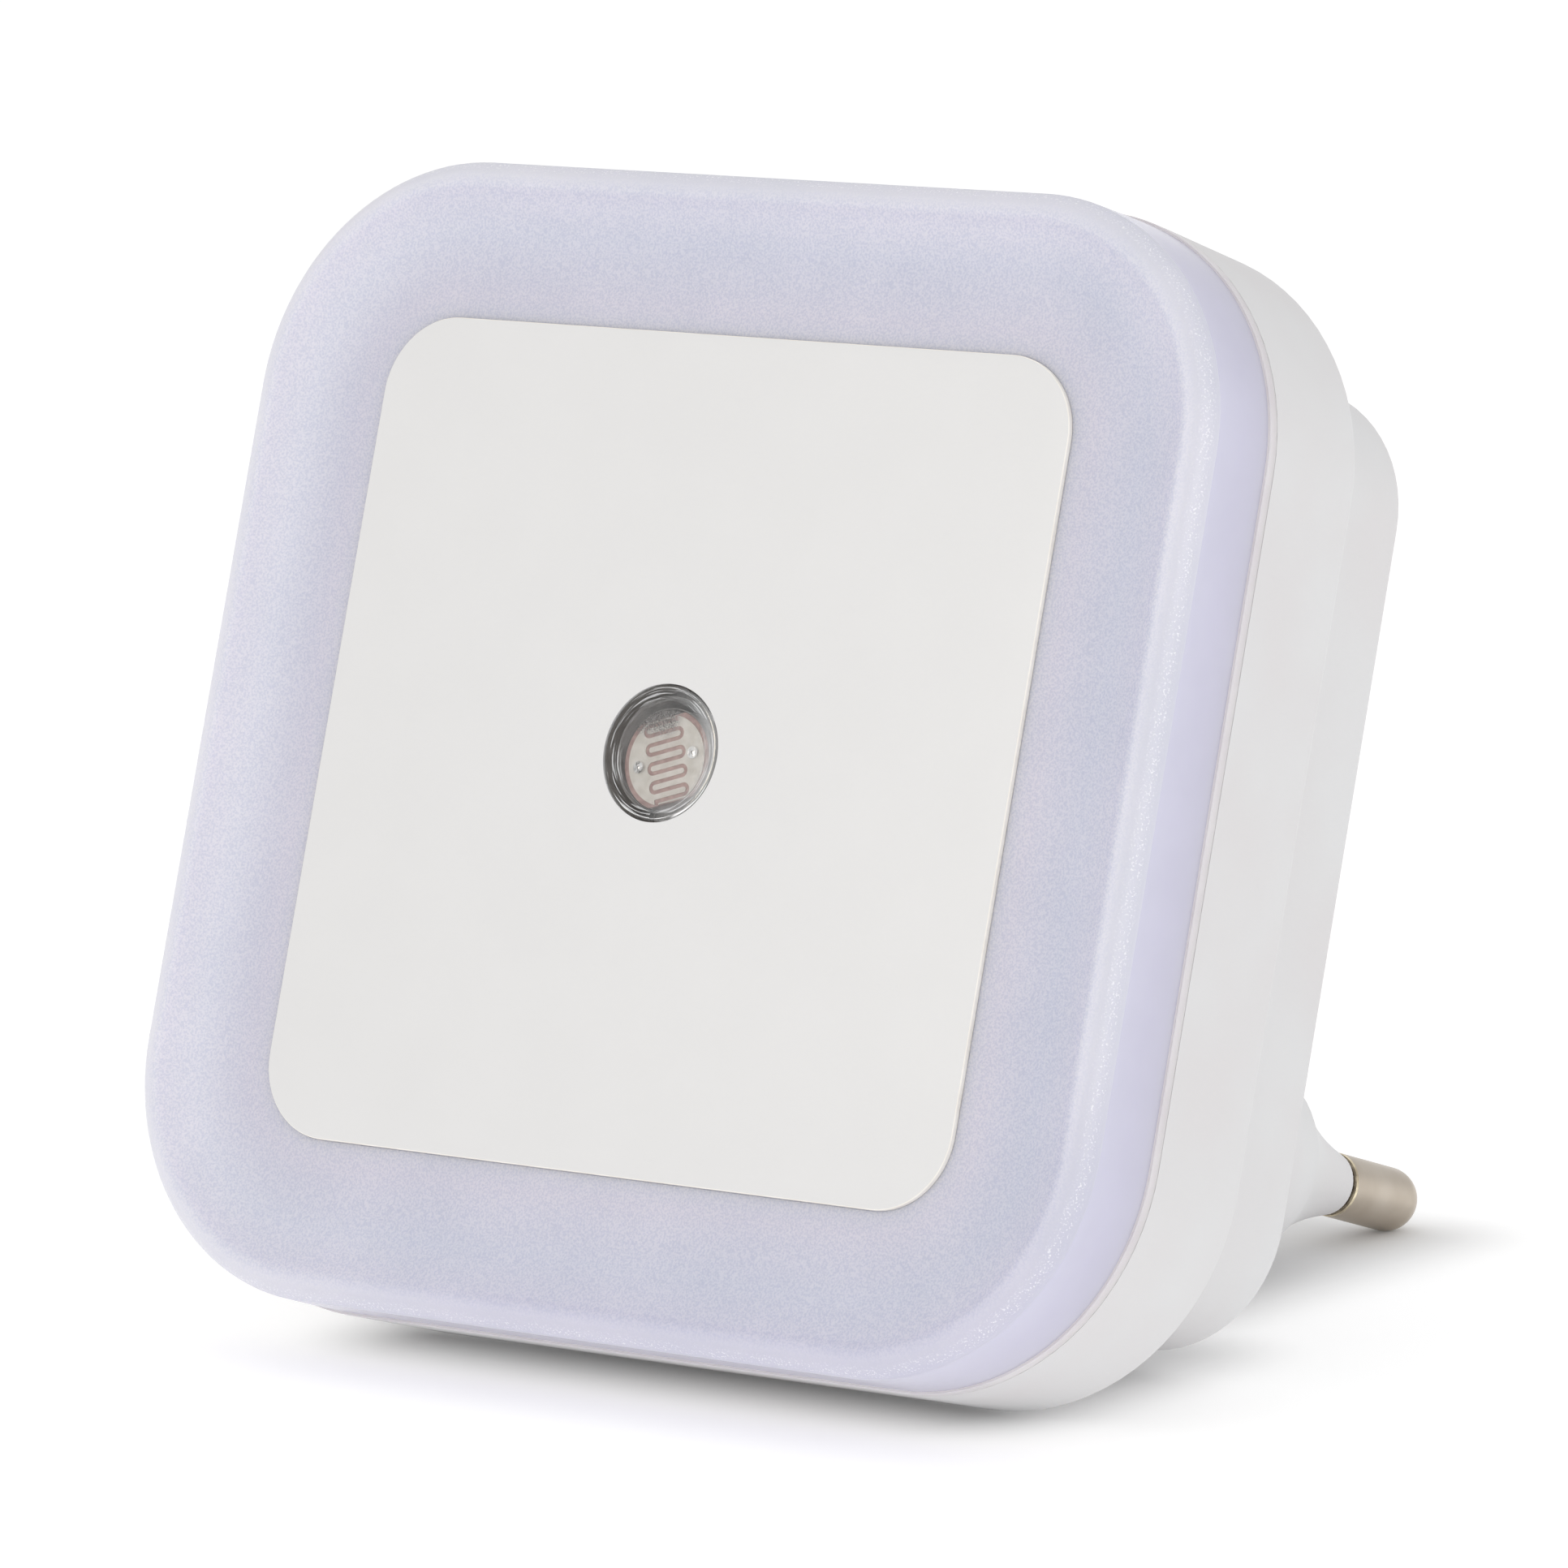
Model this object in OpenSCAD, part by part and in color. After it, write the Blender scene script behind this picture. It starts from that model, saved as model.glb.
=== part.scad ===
// Plug-in LED night light with a light sensor: a square face on a two-step housing
// that hangs on a two-pin mains plug.
// +X is to the right seen from the room, +Y goes into the wall, +Z is up.
// The origin lies between the two pins, on the plug's end face.

/* [Face] */
// Width and height of the housing and of the diffuser's flange
face_size = 68; // [62:0.5:80]
// Corner radius of the housing and of the flange
face_corner = 14.3; // [12:0.1:18]
// How far the diffuser's side wall is set in from the housing wall
rim_inset = 0.15; // [0.1:0.05:0.5]
// Thickness of the flange along the seam
flange_t = 0.6; // [0.4:0.1:1.2]
// Radius of the roll along the diffuser's front edge
rim_r = 1.5; // [0.8:0.1:2.2]
// Height of the rolled edge in front of the panel
rim_rise = 0.6; // [0.2:0.1:1.2]
// Depth from the panel's face back to the seam
diffuser_depth = 6.5; // [6:0.1:9]
// Thickness of the diffuser's side walls
diffuser_wall = 2.6; // [2:0.1:3]

/* [Panel] */
// Width and height of the opaque front panel
panel_size = 48.8; // [44:0.2:50]
// Thickness of the panel
panel_t = 1.0; // [0.8:0.1:1.4]
// How far the panel stands proud of the diffuser round it
panel_proud = 0.3; // [0.1:0.05:0.5]
// Width of the flat margin round the panel, before the face starts to rise
panel_margin = 2.8; // [1:0.1:4]

/* [Light sensor] */
// Diameter of the clear sensor window
window_d = 8; // [7.6:0.1:10]
// Thickness of the window's front
window_t = 0.5; // [0.4:0.1:0.8]
// Width of the sensor's ceramic disc
sensor_d = 5.9; // [5.6:0.1:6.2]
// Height of the disc between its two flats
sensor_flat = 5; // [4.7:0.1:5.3]
// Thickness of the ceramic disc
sensor_t = 1.6; // [1:0.1:2]
// Width of the metal film on the disc
film_d = 5.3; // [5:0.1:5.4]
// Number of straight runs in the gap that winds through the film, an odd number
track_runs = 9; // [5:2:11]
// Distance from one run to the next
track_pitch = 0.56; // [0.42:0.01:0.56]
// Width of the gap
track_w = 0.24; // [0.16:0.01:0.26]
// Length of a run between the centres of its end bends
track_len = 1.95; // [1.6:0.05:2.1]
// Turn of the sensor about its own axis, in degrees
sensor_turn = 18; // [0:1:45]
// How far the sensor sits below the window's middle
sensor_low = 0.3; // [0:0.05:0.4]
// Distance between the sensor's two leads
lead_pitch = 3.8; // [3.4:0.1:4.2]

/* [Housing] */
// Wall thickness of the housing
wall = 1.8; // [1.5:0.1:2.2]
// Depth of the wide front step, from the seam
step1_depth = 9.1; // [8:0.1:12]
// How far the rear step is set in from the front step
step_back = 5.3; // [5:0.1:7]
// Corner radius of the rear step
step2_corner = 8.2; // [6:0.1:10]
// Depth of the rear step
step2_depth = 13.3; // [12.6:0.1:18]
// Radius along the rear edge of each step
edge_r = 0.6; // [0.3:0.1:1]
// How far each step draws in towards the wall, on each side, so that it leaves its mould
draft = 0.2; // [0:0.05:0.4]
// Width of the thin gap at the seam
seam_gap = 0.1; // [0.05:0.05:0.2]
// How far the diffuser's skirt reaches into the housing
skirt_len = 2; // [1.5:0.1:2.2]
// Clearance between parts that slide together
fit = 0.15; // [0.1:0.05:0.25]

/* [Plug] */
// Distance from the pins' centre line up to the middle of the face
plug_drop = 15; // [11:0.5:16]
// Length of the plug stem behind the rear step
stem_len = 22.8; // [20:0.2:26]
// Radius of the stem round each pin's axis
stem_r = 7.5; // [7:0.1:8.2]
// Length of the stem's tapered end
taper_len = 7.2; // [5:0.2:9]
// Distance between the two pins
pin_pitch = 18.6; // [18:0.1:19.2]
// Diameter of the pins
pin_d = 4; // [3.9:0.05:4.1]
// Length of the pins beyond the stem's end face
pin_len = 19.4; // [18.5:0.1:20]
// Length of bare metal at a pin's end
bare_len = 9; // [7:0.1:9.5]
// Radius of a flared sleeve at the stem's end face
flare_r = 5.9; // [4.5:0.1:6.2]
// Radius of the hollow curve along a flared sleeve
flare_curve_r = 35; // [28:1:60]

/* [Circuit] */
// Room between the circuit board's edge and the housing wall
board_gap = 2.7; // [2.2:0.1:4]
// Thickness of the circuit board
board_t = 1.6; // [1.2:0.1:1.8]
// Distance from the seam back to the board's front
board_set = 2.5; // [2.3:0.1:3]
// Distance of the board screws from the board's edges
screw_inset = 3.7; // [3.4:0.1:4]
// Shank diameter of the board screws
screw_d = 2; // [1.8:0.1:2.2]
// Distance of the lamps from the board's edges
lamp_inset = 3.5; // [2:0.1:5]
// Width and height of a lamp
lamp_size = 3.2; // [2.8:0.1:3.5]
// Diameter of the smoothing capacitor
can_d = 8; // [6.3:0.1:8]
// Length of the smoothing capacitor
can_len = 11; // [9:0.5:12]
// Width of the film capacitor
film_cap_w = 13; // [10:0.5:13.5]
// Height of the film capacitor off the board
film_cap_d = 10.4; // [8:0.1:12]
// Diameter of the supply wires over their insulation
wire_d = 1.8; // [1.4:0.1:2]

/* [Hidden] */
$fn = 96;

// Places along Y, from the room to the wall
y_face = -(stem_len + step2_depth + step1_depth + diffuser_depth);
y_seam = y_face + diffuser_depth;
y_step1 = y_seam + step1_depth;
y_step2 = y_step1 + step2_depth;
y_board = y_seam + board_set;
y_board_back = y_board + board_t;
flare_len = pin_len - bare_len;
pin_x = pin_pitch / 2;
pin_r = pin_d / 2;

// Diffuser
rim_size = face_size - 2 * rim_inset;
rim_corner = face_corner - rim_inset;
panel_corner = rim_corner - (rim_size - panel_size) / 2;
face_web = 1.2;
y_web = y_face + panel_t + face_web;
cavity_size = rim_size - 2 * diffuser_wall;
cavity_corner = rim_corner - diffuser_wall;
skirt_size = face_size - 2 * wall - 2 * fit;
skirt_corner = face_corner - wall - fit;
bead_r = 0.35;
bead_len = 20;
y_bead = y_seam + skirt_len / 2;

// Sensor
window_r = window_d / 2;
window_wall = 0.6;
window_flange_r = window_r + 1;
window_flange_t = 0.6;
film_t = 0.05;
film_margin = 0.1;
lead_r = 0.25;
lead_fit = 0.02;
dot_r = 0.34;
dot_rise = 0.15;
sensor_gap = 0.05;
y_sensor = y_face + window_t + sensor_gap + dot_rise + film_t;
shroud_wall = 0.8;
shroud_r = window_flange_r + shroud_wall + fit;

// Housing
step2_size = face_size - 2 * step_back;
boss_r = 2.4;
pilot_r = screw_d / 2 - 0.2;
rib_t = 1.2;
rib_depth = 2.5;
rib_pitch = 12;
rib_low = 2 * stem_r + 4;
weld = 0.5;
stem_hollow_r = stem_r - 2.3;
end_wall = 3;

// Pins
neck_len = 0.3;
shank_r = pin_r - 0.5;
head_r = 2.9;
head_t = 1.2;
tail_r = 1.1;
tail_len = 4;
tag_t = 0.8;
tag_r = 2.2;

// Board and what stands on it; places are across and up from the face's middle
board_size = face_size - 2 * (wall + board_gap);
board_corner = 5;
screw_off = board_size / 2 - screw_inset;
lamp_off = board_size / 2 - lamp_inset;
lamp_t = 0.8;
lamp_well = 0.25;
leg_r = 0.3;
film_cap_h = 6;
film_cap_legs = 10;
film_cap_foot = 0.6;
film_cap_at = [-13, 14];
can_legs = 2.5;
can_foot = 0.4;
can_groove = 1.8;
can_at = [12, 13];
diode_d = 2.6;
diode_len = 5;
diode_span = 9;
diode_pitch = 4;
diode_at = [12, 3.5];
zener_d = 1.8;
zener_len = 3.6;
zener_span = 7;
zener_at = [-3, 2];
fuse_d = 3.6;
fuse_len = 9;
fuse_span = 13;
fuse_at = [-14, 5];
bleed_d = 2.4;
bleed_len = 6.3;
bleed_span = 10;
bleed_at = [-14, -1];
transistor_d = 4.6;
transistor_len = 4.8;
transistor_flat = 1.4;
transistor_foot = 2;
transistor_legs = 1.27;
transistor_at = [0, 20];
chip_w = 3.2;
chip_h = 1.6;
chip_t = 0.6;
chip_pitch = 3;
chip_at = [-2, -3];

// Screws
screw_head_r = 1.9;
screw_slot = 0.5;
screw_slot_depth = 0.6;
screw_head_t = 1.3;
screw_floor = 1.5;
screw_tip_gap = 0.3;
screw_len = step1_depth - board_set - screw_floor;

// Wires
wire_r = wire_d / 2;
bend_r = 2.5;
wire_shift = 6;
y_tail = -end_wall - head_t - tail_len;
y_turn = y_step2 - wall - wire_r - 2;

// ---- shared forms ----

// Stands a shape on the XZ plane so that its height runs along +Y, at depth y
module into_wall(y, x = 0, z = plug_drop) {
    translate([x, y, z])
        rotate([-90, 0, 0])
            children();
}

// Flat square with round corners
module round_square(size, r) {
    s = size / 2 - r;
    square([size, 2 * s], center = true);
    square([2 * s, size], center = true);
    for (x = [-s, s], y = [-s, s])
        translate([x, y])
            circle(r = r);
}

// Straight slab with round corners, from y0 to y1
module slab(size, r, y0, y1) {
    into_wall(y0)
        linear_extrude(y1 - y0)
            round_square(size, r);
}

// Carries a profile round a square with round corners. The profile's x is measured
// outwards from the centre of a corner and begins at $from, and its y is the depth.
module sweep_square(size, r) {
    s = size / 2 - r;
    for (a = [0, 90, 180, 270])
        rotate([0, 0, a])
            translate([s, s, 0])
                let ($from = 0)
                    rotate_extrude(angle = 90)
                        children();
    for (a = [0, 180])
        rotate([0, 0, a])
            translate([s, s, 0])
                rotate([90, 0, 0])
                    linear_extrude(2 * s)
                        let ($from = -s)
                            children();
    for (a = [90, 270])
        rotate([0, 0, a])
            translate([s, s, 0])
                rotate([90, 0, 0])
                    linear_extrude(2 * s)
                        let ($from = 0)
                            children();
}

// Slab with drafted sides, whose rear edge is rounded
module soft_slab(size, r, y0, y1, soft) {
    depth = y1 - y0;
    back_r = r - draft;
    into_wall(y0)
        sweep_square(size, r) {
            union() {
                polygon([[$from, 0], [r, 0], [back_r, depth - soft], [$from, depth - soft]]);
                translate([$from, 0])
                    square([back_r - soft - $from, depth]);
                intersection() {
                    translate([back_r - soft, depth - soft])
                        circle(r = soft);
                    translate([back_r - soft, depth - soft])
                        square(soft);
                }
            }
        }
}

// Round rod along +Y
module rod(r, y0, y1, x = 0, z = plug_drop) {
    into_wall(y0, x, z)
        cylinder(r = r, h = y1 - y0);
}

// Box given by its middle in X and Z, its size in X and Z, and its depths
module block(x, z, w, h, y0, y1) {
    translate([x - w / 2, y0, z - h / 2])
        cube([w, y1 - y0, h]);
}

// ---- diffuser frame ----

// Outer profile of the diffuser: flat margin, rising face, rolled edge and side wall.
// Depth 0 is the face of the panel.
module diffuser_profile() {
    r = rim_corner;
    foot = diffuser_depth - flange_t;
    margin = panel_corner + panel_margin;
    polygon([[$from, panel_proud], [margin, panel_proud], [r - rim_r, -rim_rise],
        [r - rim_r, foot], [$from, foot]]);
    translate([r - rim_r, rim_r - rim_rise])
        square([rim_r, foot - rim_r + rim_rise]);
    intersection() {
        translate([r - rim_r, rim_r - rim_rise])
            circle(r = rim_r);
        translate([r - rim_r, -rim_rise])
            square(rim_r);
    }
}

// Half-round snap beads on the four sides of the skirt
module snap_beads(r) {
    for (a = [0, 90, 180, 270])
        translate([0, y_bead, plug_drop])
            rotate([0, a, 0])
                translate([skirt_size / 2, 0, 0])
                    cylinder(r = r, h = bead_len, center = true);
}

module diffuser_frame() {
    color([0.83, 0.82, 0.9, 0.9])
        difference() {
            union() {
                into_wall(y_face)
                    sweep_square(rim_size, rim_corner)
                        diffuser_profile();
                slab(face_size, face_corner, y_seam - flange_t, y_seam);
                slab(skirt_size, skirt_corner, y_seam, y_seam + skirt_len);
                snap_beads(bead_r);
            }
            slab(panel_size + fit, panel_corner + fit / 2, y_face - 2, y_face + panel_t);
            slab(cavity_size, cavity_corner, y_web, y_seam + skirt_len + 1);
            rod(window_r + fit / 2, y_face, y_web + 1);
        }
}

// ---- front panel ----
module front_panel() {
    color([0.91, 0.905, 0.895])
        difference() {
            slab(panel_size, panel_corner, y_face, y_face + panel_t);
            rod(window_r + fit / 2, y_face - 1, y_face + panel_t + 1);
        }
}

// ---- light sensor ----

// Clear cup pushed in from behind, held by its flange
module sensor_window() {
    color([0.8, 0.82, 0.82, 0.35])
        difference() {
            union() {
                rod(window_r, y_face, y_web + window_flange_t);
                rod(window_flange_r, y_web, y_web + window_flange_t);
            }
            rod(window_r - window_wall, y_face + window_t, y_web + window_flange_t + 1);
        }
}

// Dark tube that keeps the lamps' own light off the sensor
module sensor_shroud() {
    color([0.16, 0.16, 0.17])
        difference() {
            rod(shroud_r, y_web, y_board);
            rod(window_flange_r + fit, y_web - 1, y_web + window_flange_t);
            rod(window_r - window_wall, y_web, y_board + 1);
        }
}

module on_sensor() {
    translate([0, 0, plug_drop - sensor_low])
        rotate([0, -sensor_turn, 0])
            translate([0, 0, -plug_drop])
                children();
}

// Disc with a flat at the top and at the bottom
module flat_disc(width, height) {
    intersection() {
        circle(r = width / 2);
        square([width + 1, height], center = true);
    }
}

module light_sensor() {
    color([0.68, 0.5, 0.46])
        on_sensor()
            difference() {
                into_wall(y_sensor)
                    linear_extrude(sensor_t)
                        flat_disc(sensor_d, sensor_flat);
                for (x = [-1, 1] * lead_pitch / 2)
                    rod(lead_r + lead_fit, y_sensor - 1, y_sensor + sensor_t + 1, x);
            }
}

// Winding gap: straight runs one below the other, joined by half rings at alternate ends,
// with a straight way out at the top right and at the bottom left. Y points down here.
module track_outline() {
    top = (track_runs - 1) / 2 * track_pitch;
    for (i = [0 : track_runs - 1])
        translate([0, top - i * track_pitch])
            square([track_len, track_w], center = true);
    for (i = [0 : track_runs - 2]) {
        side = i % 2 == 0 ? 1 : -1;
        translate([side * track_len / 2, top - (i + 0.5) * track_pitch])
            difference() {
                circle(r = (track_pitch + track_w) / 2);
                circle(r = (track_pitch - track_w) / 2);
                translate([-side * track_pitch, 0])
                    square([2 * track_pitch, 3 * track_pitch], center = true);
            }
    }
    for (end = [1, -1])
        translate([-end * track_len / 2, end * (top + sensor_flat / 2)])
            square([track_w, sensor_flat + track_w], center = true);
}

// Two interlocking combs of metal film, with the gap between them
module sensor_electrodes() {
    color([0.86, 0.85, 0.83])
        on_sensor()
            into_wall(y_sensor - film_t)
                linear_extrude(film_t)
                    difference() {
                        flat_disc(film_d, sensor_flat - film_margin);
                        track_outline();
                        for (x = [-1, 1] * lead_pitch / 2)
                            translate([x, 0])
                                circle(r = lead_r + lead_fit);
                    }
}

// Leads with a small domed end on the film, soldered in the board
module sensor_leads() {
    color([0.82, 0.81, 0.78])
        on_sensor()
            for (x = [-1, 1] * lead_pitch / 2) {
                rod(lead_r, y_sensor - film_t, y_board, x);
                intersection() {
                    translate([x, y_sensor - film_t - dot_rise + dot_r, plug_drop])
                        sphere(r = dot_r);
                    block(x, plug_drop, 1, 1, y_sensor - 1, y_sensor - film_t);
                }
            }
}

// ---- rear housing ----

// Depth profile of the stem round a pin's axis: x is the radius, y the depth
module stem_profile() {
    polygon([[0, y_step1 + wall], [stem_r, y_step1 + wall], [stem_r, -taper_len],
        [flare_r, 0], [0, 0]]);
}

// Flared sleeve: a cone that a large circle hollows
module sleeve_profile() {
    chord = norm([flare_r - pin_r, flare_len]);
    rise = sqrt(pow(flare_curve_r, 2) - pow(chord / 2, 2));
    centre = [(flare_r + pin_r) / 2 + rise * flare_len / chord,
        flare_len / 2 + rise * (flare_r - pin_r) / chord];
    difference() {
        polygon([[0, 0], [flare_r, 0], [flare_r, flare_len], [0, flare_len]]);
        translate(centre)
            circle(r = flare_curve_r, $fn = 720);
    }
}

module plug_stem() {
    for (x = [-pin_x, pin_x])
        into_wall(0, x, 0)
            rotate_extrude() {
                stem_profile();
                sleeve_profile();
            }
    translate([-pin_x, 0, 0])
        rotate([0, 90, 0])
            linear_extrude(pin_pitch) {
                stem_profile();
                mirror([1, 0])
                    stem_profile();
            }
}

// Room inside the stem: two round ends and a straight middle
module stem_hollow() {
    y0 = y_step2 - wall - 1;
    for (x = [-pin_x, pin_x])
        rod(stem_hollow_r, y0, -end_wall, x, 0);
    block(0, 0, pin_pitch, 2 * stem_hollow_r, y0, -end_wall);
}

module board_bosses() {
    for (x = [-1, 1] * screw_off, z = [-1, 1] * screw_off)
        rod(boss_r, y_board_back, y_step1 - wall + weld, x, plug_drop + z);
}

module boss_holes() {
    for (x = [-1, 1] * screw_off, z = [-1, 1] * screw_off)
        rod(pilot_r, y_board_back - 1, y_board + screw_len + screw_tip_gap, x, plug_drop + z);
}

// Stiffening ribs on the rear step's floor, from above the stem to the top wall
module floor_ribs() {
    z0 = rib_low;
    z1 = plug_drop + step2_size / 2 - wall + weld;
    y1 = y_step2 - wall + weld;
    for (x = [-1, 0, 1] * rib_pitch)
        block(x, (z0 + z1) / 2, rib_t, z1 - z0, y1 - rib_depth - weld, y1);
}

module rear_housing() {
    color([0.93, 0.93, 0.93])
        difference() {
            union() {
                difference() {
                    union() {
                        soft_slab(face_size, face_corner, y_seam + seam_gap, y_step1, edge_r);
                        soft_slab(step2_size, step2_corner, y_step1 - edge_r, y_step2, edge_r);
                        plug_stem();
                    }
                    slab(face_size - 2 * wall, face_corner - wall, y_seam - 1, y_step1 - wall);
                    slab(step2_size - 2 * wall, step2_corner - wall, y_seam, y_step2 - wall);
                    stem_hollow();
                }
                board_bosses();
                floor_ribs();
            }
            snap_beads(bead_r + fit);
            boss_holes();
            for (x = [-pin_x, pin_x])
                rod(shank_r + fit / 3, -end_wall - 1, flare_len + 1, x, 0);
        }
}

// ---- plug pins ----

// Turned pin: rounded tip, thinner shank that shows as a neck at the sleeve's end,
// head and solder tail
module plug_pin(x) {
    color([0.76, 0.73, 0.69])
        into_wall(0, x, 0)
            rotate_extrude() {
                translate([0, -end_wall - head_t - tail_len])
                    square([tail_r, tail_len + head_t]);
                translate([0, -end_wall - head_t])
                    square([head_r, head_t]);
                translate([0, -end_wall])
                    square([shank_r, end_wall + flare_len + neck_len]);
                translate([0, flare_len + neck_len])
                    square([pin_r, bare_len - neck_len - pin_r]);
                intersection() {
                    translate([0, pin_len - pin_r])
                        circle(r = pin_r);
                    translate([0, pin_len - pin_r])
                        square(pin_r);
                }
            }
}

module plug_pin_left() {
    plug_pin(-pin_x);
}

module plug_pin_right() {
    plug_pin(pin_x);
}

// Brass solder tags on the pins' tails
module pin_tags() {
    y1 = -end_wall - head_t;
    color([0.8, 0.66, 0.36])
        for (x = [-pin_x, pin_x])
            difference() {
                union() {
                    rod(tag_r, y1 - tag_t, y1, x, 0);
                    block(x, tag_r, 2 * tag_r - 1, 2 * tag_r - 1, y1 - tag_t, y1);
                }
                rod(tail_r + 0.05, y1 - tag_t - 1, y1 + 1, x, 0);
            }
}

// ---- circuit ----

// Board with screw holes
module circuit_board() {
    color([0.2, 0.45, 0.28])
        difference() {
            slab(board_size, board_corner, y_board, y_board_back);
            for (x = [-1, 1] * screw_off, z = [-1, 1] * screw_off)
                rod(screw_d / 2 + fit, y_board - 1, y_board_back + 1, x, plug_drop + z);
        }
}

// Four surface-mounted lamps: white body with a shallow round lens well
module led_lamps() {
    color([0.95, 0.93, 0.72])
        for (a = [0, 90, 180, 270])
            translate([0, 0, plug_drop])
                rotate([0, a, 0])
                    translate([lamp_off, 0, 0])
                        difference() {
                            block(0, 0, lamp_size, lamp_size, y_board - lamp_t, y_board);
                            rod(lamp_size / 2 - 0.4, y_board - lamp_t - 1,
                                y_board - lamp_t + lamp_well, 0, 0);
                        }
}

// Board screws: flat head with a cross slot, shank in the boss
module board_screws() {
    color([0.7, 0.7, 0.72])
        for (x = [-1, 1] * screw_off, z = [-1, 1] * screw_off)
            into_wall(y_board, x, plug_drop + z)
                difference() {
                    rotate_extrude() {
                        square([pilot_r, screw_len]);
                        translate([0, -screw_head_t])
                            square([screw_head_r, screw_head_t]);
                    }
                    for (a = [0, 90])
                        rotate([0, 0, a])
                            translate([0, 0, -screw_head_t])
                                cube([screw_slot, 1.3 * screw_head_r, 2 * screw_slot_depth],
                                    center = true);
                }
}

// Small wire leg from the board back to a part; at is across and up from the middle
module leg(at, y1) {
    rod(leg_r, y_board_back, y1, at.x, plug_drop + at.y);
}

// Boxed film capacitor that drops the mains voltage
module film_capacitor() {
    y0 = y_board_back + film_cap_foot;
    color([0.78, 0.6, 0.25]) {
        block(film_cap_at.x, plug_drop + film_cap_at.y, film_cap_w, film_cap_h,
            y0, y0 + film_cap_d);
        for (side = [-1, 1])
            leg(film_cap_at + [side * film_cap_legs / 2, 0], y0);
    }
}

// Standing electrolytic capacitor with its rolled groove
module smoothing_capacitor() {
    y0 = y_board_back + can_foot;
    color([0.2, 0.24, 0.32]) {
        into_wall(y0, can_at.x, plug_drop + can_at.y)
            rotate_extrude()
                difference() {
                    square([can_d / 2, can_len]);
                    translate([can_d / 2 + 0.15, can_groove])
                        circle(r = 0.5, $fn = 32);
                }
        for (side = [-1, 1])
            leg(can_at + [side * can_legs / 2, 0], y0);
    }
}

// Axial part lying on the board: body and two legs bent down to the board
module axial_part(at, body_d, body_len, span) {
    y_axis = y_board_back + body_d / 2 + leg_r;
    translate([at.x, y_axis, plug_drop + at.y]) {
        rotate([0, 90, 0])
            cylinder(r = body_d / 2, h = body_len, center = true);
        for (side = [0, 180])
            rotate([0, side, 0]) {
                translate([body_len / 2, 0, 0])
                    rotate([0, 90, 0])
                        cylinder(r = leg_r, h = (span - body_len) / 2);
                translate([span / 2, 0, 0])
                    rotate([90, 0, 0])
                        cylinder(r = leg_r, h = y_axis - y_board_back);
                translate([span / 2, 0, 0])
                    sphere(r = leg_r);
            }
    }
}

module rectifier_diodes() {
    color([0.14, 0.14, 0.15])
        for (i = [0 : 3])
            axial_part(diode_at - [0, i * diode_pitch], diode_d, diode_len, diode_span);
}

module zener_diode() {
    color([0.75, 0.35, 0.2])
        axial_part(zener_at, zener_d, zener_len, zener_span);
}

module fuse_resistor() {
    color([0.45, 0.6, 0.45])
        axial_part(fuse_at, fuse_d, fuse_len, fuse_span);
}

module bleed_resistor() {
    color([0.78, 0.68, 0.5])
        axial_part(bleed_at, bleed_d, bleed_len, bleed_span);
}

// Three-legged transistor with one flat side
module switching_transistor() {
    y0 = y_board_back + transistor_foot;
    color([0.13, 0.13, 0.14]) {
        into_wall(y0, transistor_at.x, plug_drop + transistor_at.y)
            linear_extrude(transistor_len)
                difference() {
                    circle(r = transistor_d / 2);
                    translate([-transistor_d, transistor_flat])
                        square([2 * transistor_d, transistor_d]);
                }
        for (side = [-1, 0, 1])
            leg(transistor_at + [side * transistor_legs, 0], y0);
    }
}

// Surface-mounted resistors on the board's back
module chip_resistors() {
    color([0.12, 0.12, 0.13])
        for (i = [0 : 3])
            block(chip_at.x, plug_drop + chip_at.y - chip_pitch * i, chip_w, chip_h,
                y_board_back, y_board_back + chip_t);
}

// Quarter bend of a wire, from its centre [x, y] and its first angle
module wire_bend(x, y, turn) {
    translate([x, y, 0])
        rotate([0, 0, turn])
            rotate_extrude(angle = 90)
                translate([bend_r, 0])
                    circle(r = wire_r);
}

// Insulated wire of the right-hand pin: back from the board, sideways above the stem,
// and back again to the pin's tail
module supply_wire() {
    x_pad = pin_x + wire_shift;
    rod(wire_r, y_board_back, y_turn - bend_r, x_pad, 0);
    wire_bend(x_pad - bend_r, y_turn - bend_r, 0);
    translate([pin_x + bend_r, y_turn, 0])
        rotate([0, 90, 0])
            cylinder(r = wire_r, h = wire_shift - 2 * bend_r);
    wire_bend(pin_x + bend_r, y_turn + bend_r, 180);
    rod(wire_r, y_turn + bend_r, y_tail, pin_x, 0);
}

module live_wire() {
    color([0.55, 0.3, 0.2])
        supply_wire();
}

module neutral_wire() {
    color([0.2, 0.35, 0.65])
        mirror([1, 0, 0])
            supply_wire();
}

rear_housing();
diffuser_frame();
front_panel();
sensor_window();
sensor_shroud();
light_sensor();
sensor_electrodes();
sensor_leads();
circuit_board();
led_lamps();
film_capacitor();
smoothing_capacitor();
rectifier_diodes();
zener_diode();
switching_transistor();
fuse_resistor();
bleed_resistor();
chip_resistors();
live_wire();
neutral_wire();
plug_pin_left();
plug_pin_right();
pin_tags();
board_screws();
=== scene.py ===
import bpy
import math
from mathutils import Matrix, Vector


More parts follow.
